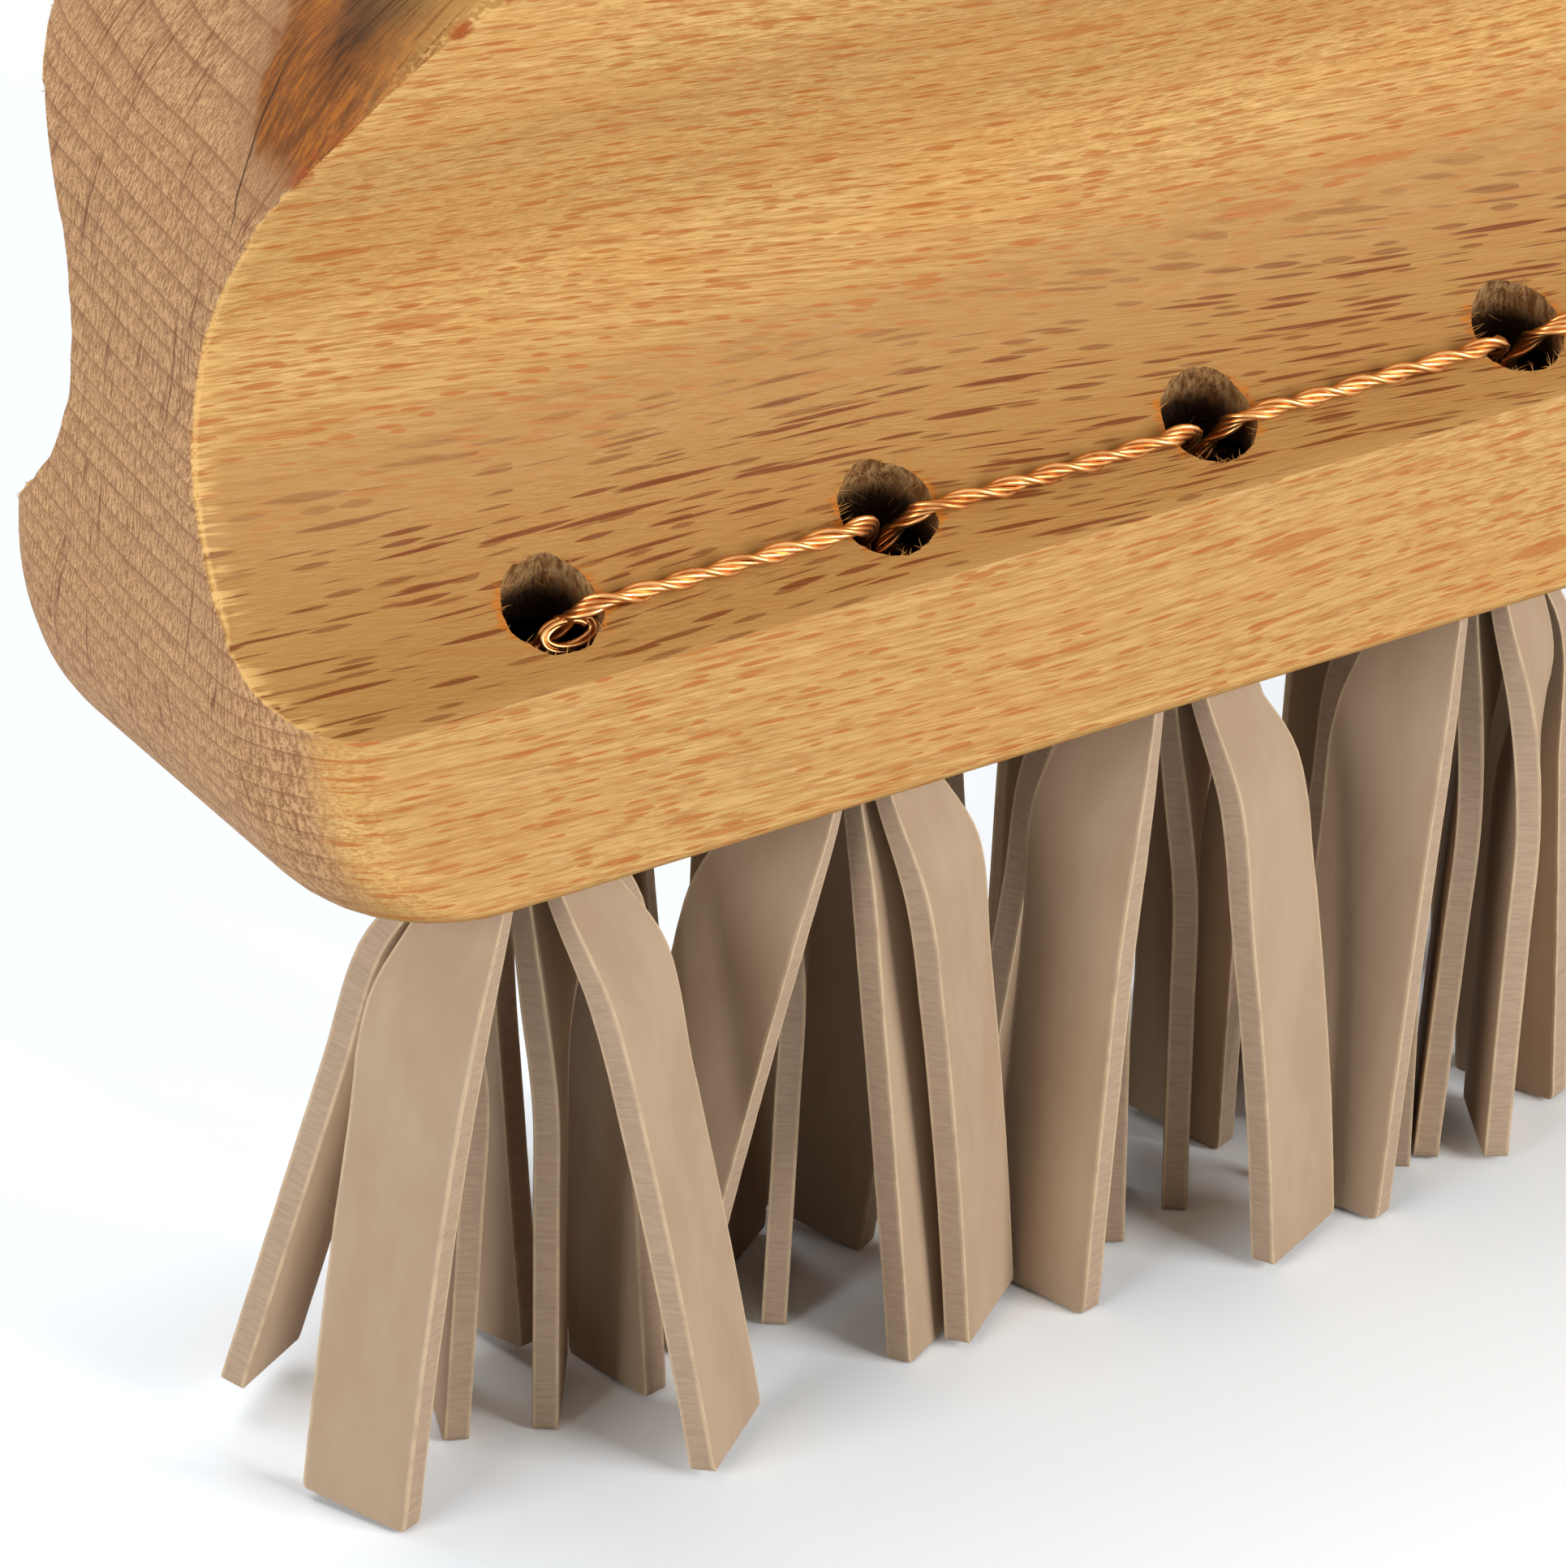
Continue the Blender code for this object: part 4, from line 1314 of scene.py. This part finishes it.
@dataclass
class RubberTufts:
    """All folded rubber strips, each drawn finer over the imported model's own strip."""

    tip_zone: float = 0.0045
    step: float = 0.0009
    corner_radius: float = 0.00011
    worn_corner: float = 0.00045
    edge_wander: float = 0.00004

    def tree(self) -> ShapeTree:
        """A rectangular band along a path, with wandering cut edges."""
        tree = ShapeTree("cut_strip")
        wander = tree.value("Edge Wander", 0.00006)
        seed = tree.value("Seed", 1)
        finish = tree.value("Finish", None)
        chain = tree.start.outputs[0]
        where = tree.node("GeometryNodeInputPosition").outputs[0]
        chain = tree.keep(chain, "centre", where, "FLOAT_VECTOR")
        line = tree.node("GeometryNodeMeshToCurve", None, {0: chain}).outputs[0]
        ring = tree.circle(16, 0.001)
        place = tree.math("DIVIDE", tree.node("GeometryNodeInputIndex").outputs[0], 4.0)
        for name, middle in (("unit_u", 1.5), ("unit_v", 2.5)):
            away = tree.math("WRAP", tree.math("SUBTRACT", place, middle), 2.0, -2.0)
            away = tree.math("ABSOLUTE", away)
            level = tree.math("MULTIPLY_ADD", away, -2.0, 2.0)
            level = tree.math("MINIMUM", tree.math("MAXIMUM", level, -1.0), 1.0)
            ring = tree.keep(ring, name, level)
        band = tree.swept(line, ring)
        u, v = tree.named("unit_u"), tree.named("unit_v")
        along = tree.named("along")
        side = tree.math("MULTIPLY", tree.math("SIGN", u), 7.3)
        sample = tree.xyz(
            tree.math("MULTIPLY", along, 900.0), side, tree.math("MULTIPLY", seed, 3.7))
        rough = tree.math("SUBTRACT", tree.noise(sample, 1.0, 3.0, 0.62), 0.5)
        offset = tree.math("MULTIPLY", rough, tree.math("MULTIPLY", wander, 2.6))
        half = tree.math("ADD", tree.named("half_width"), offset)
        out = tree.scaled(tree.named("across", "FLOAT_VECTOR"), tree.math("MULTIPLY", u, half))
        thick = tree.named("half_thickness")
        deep = tree.scaled(tree.named("face", "FLOAT_VECTOR"), tree.math("MULTIPLY", v, thick))
        total = tree.vector("ADD", tree.named("centre", VECTORS), tree.vector("ADD", out, deep))
        band = tree.moved(band, Position=total)
        mm = 1 / MILLIMETRE
        own = tree.xyz(
            tree.math("MULTIPLY_ADD", along, mm, tree.math("MULTIPLY", seed, 61.0)),
            tree.math("MULTIPLY", tree.math("MULTIPLY", u, half), mm),
            tree.math("MULTIPLY", tree.math("MULTIPLY", v, thick), mm),
        )
        band = tree.keep(band, "strip", own, "FLOAT_VECTOR")
        band = tree.keep(band, "unit", tree.xyz(u, v, 0.0), "FLOAT_VECTOR")
        tree.finish(band, finish)
        return tree

    def stations(self, node: bpy.types.Object) -> list:
        """Cross-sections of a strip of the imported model, from one cut end to the other.

        Args:
            node: The strip's node.

        Returns:
            Tuples of centre, direction across, direction through, and the two half sizes.
        """
        shape = merged_copy(node)
        low = [vertex for vertex in shape.verts if vertex.co.z < self.tip_zone]
        first = gather(low[0], lambda _, other: other.co.z < self.tip_zone)
        made = []
        corners = self.in_order([vertex.co.copy() for vertex in first])
        for ring in walk_rings(first):
            fresh = self.in_order([vertex.co.copy() for vertex in ring])
            corners = self.match(corners, fresh)
            centre = sum(corners, Vector()) / 4
            across = (corners[1] + corners[2] - corners[0] - corners[3]) / 4
            through = (corners[2] + corners[3] - corners[0] - corners[1]) / 4
            made.append((
                centre, across.normalized(), through.normalized(), across.length, through.length,
            ))
        shape.free()
        return made

    @staticmethod
    def in_order(corners: list) -> list:
        """The four corners of a section in turn, a wide side first."""
        start = corners[0]
        near, middle, far = sorted(corners[1:], key=lambda corner: (corner - start).length)
        return [start, middle, far, near]

    @staticmethod
    def match(before: list, fresh: list) -> list:
        """The corners of a section, turned or flipped to follow the section before."""
        first, second, third, fourth = fresh
        turns = (
            fresh, [third, fourth, first, second], [second, first, fourth, third],
            [fourth, third, second, first],
        )
        old, new = sum(before, Vector()) / 4, sum(fresh, Vector()) / 4
        return min(turns, key=lambda turned: sum(
            ((b - new) - (a - old)).length for a, b in zip(before, turned)
        ))

    def path(self, stations: list) -> tuple:
        """Fine points along a strip with the values that the tree reads.

        Args:
            stations: Cross-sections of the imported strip.

        Returns:
            The points, and the values by name.
        """
        keys = [
            np.array((*centre, *across, *through, wide, thick), dtype=float)
            for centre, across, through, wide, thick in stations
        ]
        gaps = [float(np.linalg.norm(b[:3] - a[:3])) for a, b in zip(keys, keys[1:])]
        pulls = [(b - a) / gap for a, b, gap in zip(keys, keys[1:], gaps)]
        slopes = [pulls[0]]
        for index in range(1, len(pulls)):
            left, right = gaps[index - 1], gaps[index]
            slopes.append((pulls[index - 1] * right + pulls[index] * left) / (left + right))
        slopes.append(pulls[-1])
        fine = []
        for index, gap in enumerate(gaps):
            steps = max(1, round(gap / self.step))
            for step in range(steps):
                t = step / steps
                fine.append(
                    keys[index] * (1 + 2 * t) * (1 - t) ** 2
                    + slopes[index] * gap * t * (1 - t) ** 2
                    + keys[index + 1] * (3 - 2 * t) * t ** 2
                    + slopes[index + 1] * gap * (t - 1) * t ** 2
                )
        fine.append(keys[-1])
        fine = self.with_worn_tips(fine)
        along = [0.0]
        for a, b in zip(fine, fine[1:]):
            along.append(along[-1] + float(np.linalg.norm(b[:3] - a[:3])))
        middle = along[-1] / 2
        return [key[:3] for key in fine], {
            "across": [key[3:6] / np.linalg.norm(key[3:6]) for key in fine],
            "face": [key[6:9] / np.linalg.norm(key[6:9]) for key in fine],
            "half_width": [float(key[9]) for key in fine],
            "half_thickness": [float(key[10]) for key in fine],
            "along": [float(value - middle) for value in along],
        }

    def with_worn_tips(self, fine: list) -> list:
        """The same path with close sections at both cut ends, where the corners are worn."""
        made = list(fine)
        for end in (0, -1):
            tip, inner = made[end], made[end + 1 if end == 0 else end - 1]
            reach = np.linalg.norm(inner[:3] - tip[:3])
            extra = []
            for share in (0.0, 0.12, 0.32, 0.62, 1.0):
                down = share * self.worn_corner
                key = tip + (inner - tip) * (down / reach)
                key = key.copy()
                key[9] -= self.worn_corner * 0.55 * (1 - math.sqrt(1 - (1 - share) ** 2))
                extra.append(key)
            made = extra + made[1:] if end == 0 else made[:-1] + extra[::-1]
        return made

    def build(self, finish: bpy.types.Material) -> None:
        """Dress every strip of both rows.

        Args:
            finish: Material of the strips.
        """
        tree = self.tree()
        names = sorted(name for name in FRAME["nodes"] if "_strip_" in name)
        for number, name in enumerate(names):
            points, values = self.path(self.stations(FRAME["nodes"][name]))
            source = path_object("strip_path", points, values)
            tree.apply(source, Edge_Wander=self.edge_wander, Seed=number + 1, Finish=finish)
            bevel = source.modifiers.new("worn_edges", "BEVEL")
            bevel.width = self.corner_radius
            bevel.segments = 2
            bevel.limit_method = "ANGLE"
            bevel.angle_limit = math.radians(50)
            bevel.harden_normals = True
            piece = baked(source, name.replace("_strip_", "_rubber_"))
            settle(piece, Slot.RUBBER, name)


@dataclass
class TwistedWires:
    """Both drawing wires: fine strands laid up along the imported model's own wires."""

    strands: int = 6
    plies: int = 2
    strand_diameter: float = 0.00029
    ply_reach: float = 0.00021
    strand_reach: float = 0.00016
    lay: float = 0.0050
    step: float = 0.00034
    looseness: float = 0.00006
    eye_radius: float = 0.00100

    def tree(self) -> ShapeTree:
        """Strands that wind round a path in plies."""
        tree = ShapeTree("laid_strands")
        strands = tree.value("Strands", 6)
        plies = tree.value("Plies", 2)
        radius = tree.value("Strand Radius", 0.000125)
        ply_reach = tree.value("Ply Reach", 0.0002)
        strand_reach = tree.value("Strand Reach", 0.00014)
        lay = tree.value("Lay", 0.005)
        step = tree.value("Step", 0.0004)
        loose = tree.value("Looseness", 0.00005)
        finish = tree.value("Finish", None)
        line = tree.node("GeometryNodeMeshToCurve", None, {0: tree.start.outputs[0]}).outputs[0]
        line = tree.node(
            "GeometryNodeCurveSplineType", {"spline_type": "CATMULL_ROM"}, {0: line}).outputs[0]
        line = tree.node(
            "GeometryNodeResampleCurve", {"mode": "LENGTH"}, {"Curve": line, "Length": step},
        ).outputs[0]
        normal = tree.node("GeometryNodeInputNormal").outputs[0]
        tangent = tree.node("GeometryNodeInputTangent").outputs[0]
        length = tree.node("GeometryNodeSplineParameter").outputs["Length"]
        line = tree.keep(line, "path_normal", normal, "FLOAT_VECTOR")
        line = tree.keep(line, "path_tangent", tangent, "FLOAT_VECTOR")
        line = tree.keep(line, "path_length", length)
        copies = tree.node(
            "GeometryNodeDuplicateElements", {"domain": "SPLINE"},
            {"Geometry": line, "Amount": strands},
        ).outputs
        line = tree.keep(copies["Geometry"], "strand_index", copies["Duplicate Index"])
        index = tree.named("strand_index")
        ply = tree.math("MODULO", index, plies)
        place = tree.math("FLOOR", tree.math("DIVIDE", index, plies))
        turns = tree.math("DIVIDE", tree.named("path_length"), lay)
        first = tree.math("ADD", turns, tree.math("DIVIDE", ply, plies))
        first = tree.math("MULTIPLY", first, TURN)
        share = tree.math("DIVIDE", tree.math("MULTIPLY", place, plies), strands)
        second = tree.math("ADD", first, tree.math("MULTIPLY", share, TURN))
        offset = tree.vector(
            "ADD", self.spoke(tree, first, ply_reach), self.spoke(tree, second, strand_reach))
        sample = tree.xyz(
            tree.math("MULTIPLY", tree.named("path_length"), 420.0),
            tree.math("MULTIPLY", index, 5.3), 0.0,
        )
        stray = tree.noise(sample, 1.0, 1.0, 0.5, colour=True)
        stray = tree.vector("SUBTRACT", stray, (0.5, 0.5, 0.5))
        stray = tree.scaled(stray, tree.math("MULTIPLY", loose, 2.0))
        line = tree.moved(line, Offset=tree.vector("ADD", offset, stray))
        tube = tree.swept(line, tree.circle(7, radius))
        own = tree.xyz(
            tree.math("MULTIPLY", tree.named("path_length"), 1000.0),
            tree.math("MULTIPLY", index, 4.1), 0.0,
        )
        tube = tree.keep(tube, "strand", own, "FLOAT_VECTOR")
        tree.finish(tube, finish)
        return tree

    @staticmethod
    def spoke(tree: ShapeTree, angle, reach) -> bpy.types.NodeSocket:
        """An offset from the path at an angle about it."""
        normal = tree.named("path_normal", "FLOAT_VECTOR")
        tangent = tree.named("path_tangent", "FLOAT_VECTOR")
        other = tree.vector("CROSS_PRODUCT", tangent, normal)
        level = tree.scaled(normal, tree.math("MULTIPLY", tree.math("COSINE", angle), reach))
        upright = tree.scaled(other, tree.math("MULTIPLY", tree.math("SINE", angle), reach))
        return tree.vector("ADD", level, upright)

    @staticmethod
    def centre_line(node: bpy.types.Object) -> list:
        """Centres of the sections of a packed wire, from one cut end to the other."""
        shape = merged_copy(node)
        sharp = [
            edge for edge in shape.edges
            if len(edge.link_faces) == 2 and edge.calc_face_angle() > math.radians(75)
        ]
        first = gather(sharp[0].verts[0], lambda link, _: link in sharp)
        centres = []
        for ring in walk_rings(first):
            centres.append(sum((vertex.co for vertex in ring), Vector()) / len(ring))
        shape.free()
        return centres

    def eye(self, back: BeechBack, row: Row) -> list:
        """The start eye: a small loop that the first wire's end is knotted into."""
        mouth = back.hole_mouth(0)
        down = Vector((0, -0.66, -0.75)).normalized()
        along, out = Vector((1, 0, 0)), down.cross(Vector((1, 0, 0)))
        centre = mouth + along * 0.00080 + down * 0.0012 - out * 0.0012
        loop = []
        turns = 1.35
        for step in range(34):
            share = step / 33
            angle = math.radians(150) - TURN * turns * share
            reach = self.eye_radius * (1 + 0.12 * math.sin(5 * share))
            point = centre + along * math.cos(angle) * reach * 1.25
            point += down * math.sin(angle) * -reach * 0.62
            point += out * (0.00018 * math.sin(angle + 0.6) + 0.00030 * share)
            loop.append(row.place(point))
        tail = [
            centre + along * -0.0020 + down * 0.0001 - out * 0.0009,
            centre + along * -0.0014 + down * 0.00005 - out * 0.0004,
        ]
        return [row.place(point) for point in tail] + loop

    def build(self, back: BeechBack, finish: bpy.types.Material) -> None:
        """Lay the strands of both wires and tie their start eyes.

        Args:
            back: The back whose holes the eyes lie in.
            finish: Material of the strands.
        """
        tree = self.tree()
        line = self.centre_line(FRAME["nodes"]["front_wire"])
        for row in Row:
            node = f"{row.value}_wire"
            source = path_object("wire_path", [row.place(point) for point in line], {})
            tree.apply(
                source, Strands=self.strands, Plies=self.plies,
                Strand_Radius=self.strand_diameter / 2, Ply_Reach=self.ply_reach,
                Strand_Reach=self.strand_reach, Lay=self.lay,
                Step=self.step, Looseness=self.looseness, Finish=finish,
            )
            settle(baked(source, f"{row.value}_twisted_wire"), Slot.COPPER, node)
            source = path_object("eye_path", self.eye(back, row), {})
            tree.apply(
                source, Strands=3, Plies=1, Strand_Radius=self.strand_diameter / 2,
                Ply_Reach=0.0, Strand_Reach=self.strand_reach * 1.05, Lay=0.009,
                Step=0.00012, Looseness=self.looseness, Finish=finish,
            )
            settle(baked(source, f"{row.value}_start_eye"), Slot.COPPER)


@dataclass
class Studio:
    """Floor, light and camera."""

    camera_place: tuple = (-0.24026, -0.30556, 0.22760)
    camera_azimuth: float = math.radians(-32.0)
    camera_elevation: float = math.radians(29.154)
    lens: float = 190.69
    sensor: float = 36.0
    sky: float = 0.12
    key_power: float = 6.3
    fill_power: float = 5.3
    top_power: float = 5.5

    def floor(self, finish: bpy.types.Material) -> None:
        """Lay the floor."""
        shape = bmesh.new()
        bmesh.ops.create_grid(shape, x_segments=2, y_segments=2, size=3.0)
        solid("floor", shape, finish)

    def light(
        self, name: str, place: tuple, target: tuple, size: float, power: float, warmth: tuple
    ) -> None:
        """Hang one square soft light.

        Args:
            name: Its name.
            place: Where it hangs.
            target: The point that it faces.
            size: Length of its side.
            power: Its power in watts.
            warmth: Its colour.
        """
        lamp = bpy.data.lights.new(name, "AREA")
        lamp.shape = "SQUARE"
        lamp.size = size
        lamp.energy = power
        lamp.color = warmth
        thing = placed(name, lamp)
        thing.location = place
        aim = Vector(target) - Vector(place)
        thing.rotation_euler = aim.to_track_quat("-Z", "Y").to_euler()

    def world(self) -> None:
        """White all round for the eye and for reflections, and a level light for the rest."""
        world = bpy.data.worlds.new("studio")
        bpy.context.scene.world = world
        world.use_nodes = True
        graph = Graph(world.node_tree)
        ray = graph.node("ShaderNodeLightPath")
        seen = graph.math("MAXIMUM", ray.outputs["Is Camera Ray"], ray.outputs["Is Glossy Ray"])
        seen = graph.math("MAXIMUM", seen, ray.outputs["Is Transmission Ray"])
        level = graph.remap(seen, 0.0, 1.0, self.sky, 1.0, smooth=False)
        background = world.node_tree.nodes["Background"]
        background.inputs["Color"].default_value = rgb(1, 1, 1)
        world.node_tree.links.new(level, background.inputs["Strength"])

    def camera(self) -> None:
        """Stand the camera at the picture's viewpoint."""
        data = bpy.data.cameras.new("camera")
        data.sensor_fit = "HORIZONTAL"
        data.sensor_width = self.sensor
        data.lens = self.lens
        data.clip_start = 0.01
        data.clip_end = 20.0
        turn, lift = self.camera_azimuth, self.camera_elevation
        level = math.cos(lift)
        ahead = Vector((-math.sin(turn) * level, math.cos(turn) * level, -math.sin(lift)))
        camera = placed("camera", data)
        camera.location = self.camera_place
        camera.rotation_euler = ahead.to_track_quat("-Z", "Y").to_euler()
        bpy.context.scene.camera = camera

    def build(self, finish: bpy.types.Material) -> None:
        """Set up the whole studio.

        Args:
            finish: Material of the floor.
        """
        self.floor(finish)
        self.world()
        aim = (-0.05, 0.0, 0.04)
        self.light("key", (0.36, -0.72, 0.30), aim, 0.45, self.key_power, (1.0, 0.99, 0.975))
        self.light("top", (0.00, 0.36, 0.86), aim, 0.80, self.top_power, (1.0, 1.0, 1.0))
        self.light("fill", (-0.90, -0.15, 0.26), aim, 0.55, self.fill_power, (0.99, 0.995, 1.0))
        self.camera()
        bpy.context.scene.view_settings.view_transform = "Standard"


FRAME: dict = {}


def main() -> None:
    """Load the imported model, dress it and set the scene."""
    logging.basicConfig(level=logging.INFO, format="%(name)s: %(message)s")
    FRAME.update(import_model())
    Studio().build(Paper().build())
    back = BeechBack()
    mouth = tuple(back.hole_mouth(0) / MILLIMETRE)
    beech, bored = Beech(hole_place=mouth).build(), BoredBeech(hole_place=mouth).build()
    piece = back.build(beech, bored)
    shell = BVHTree.FromObject(piece, bpy.context.evaluated_depsgraph_get())
    TornRims(back).build(shell, TornFibre().build())
    RubberTufts().build(Rubber().build())
    TwistedWires().build(back, Copper().build())


if __name__ == "__main__":
    main()
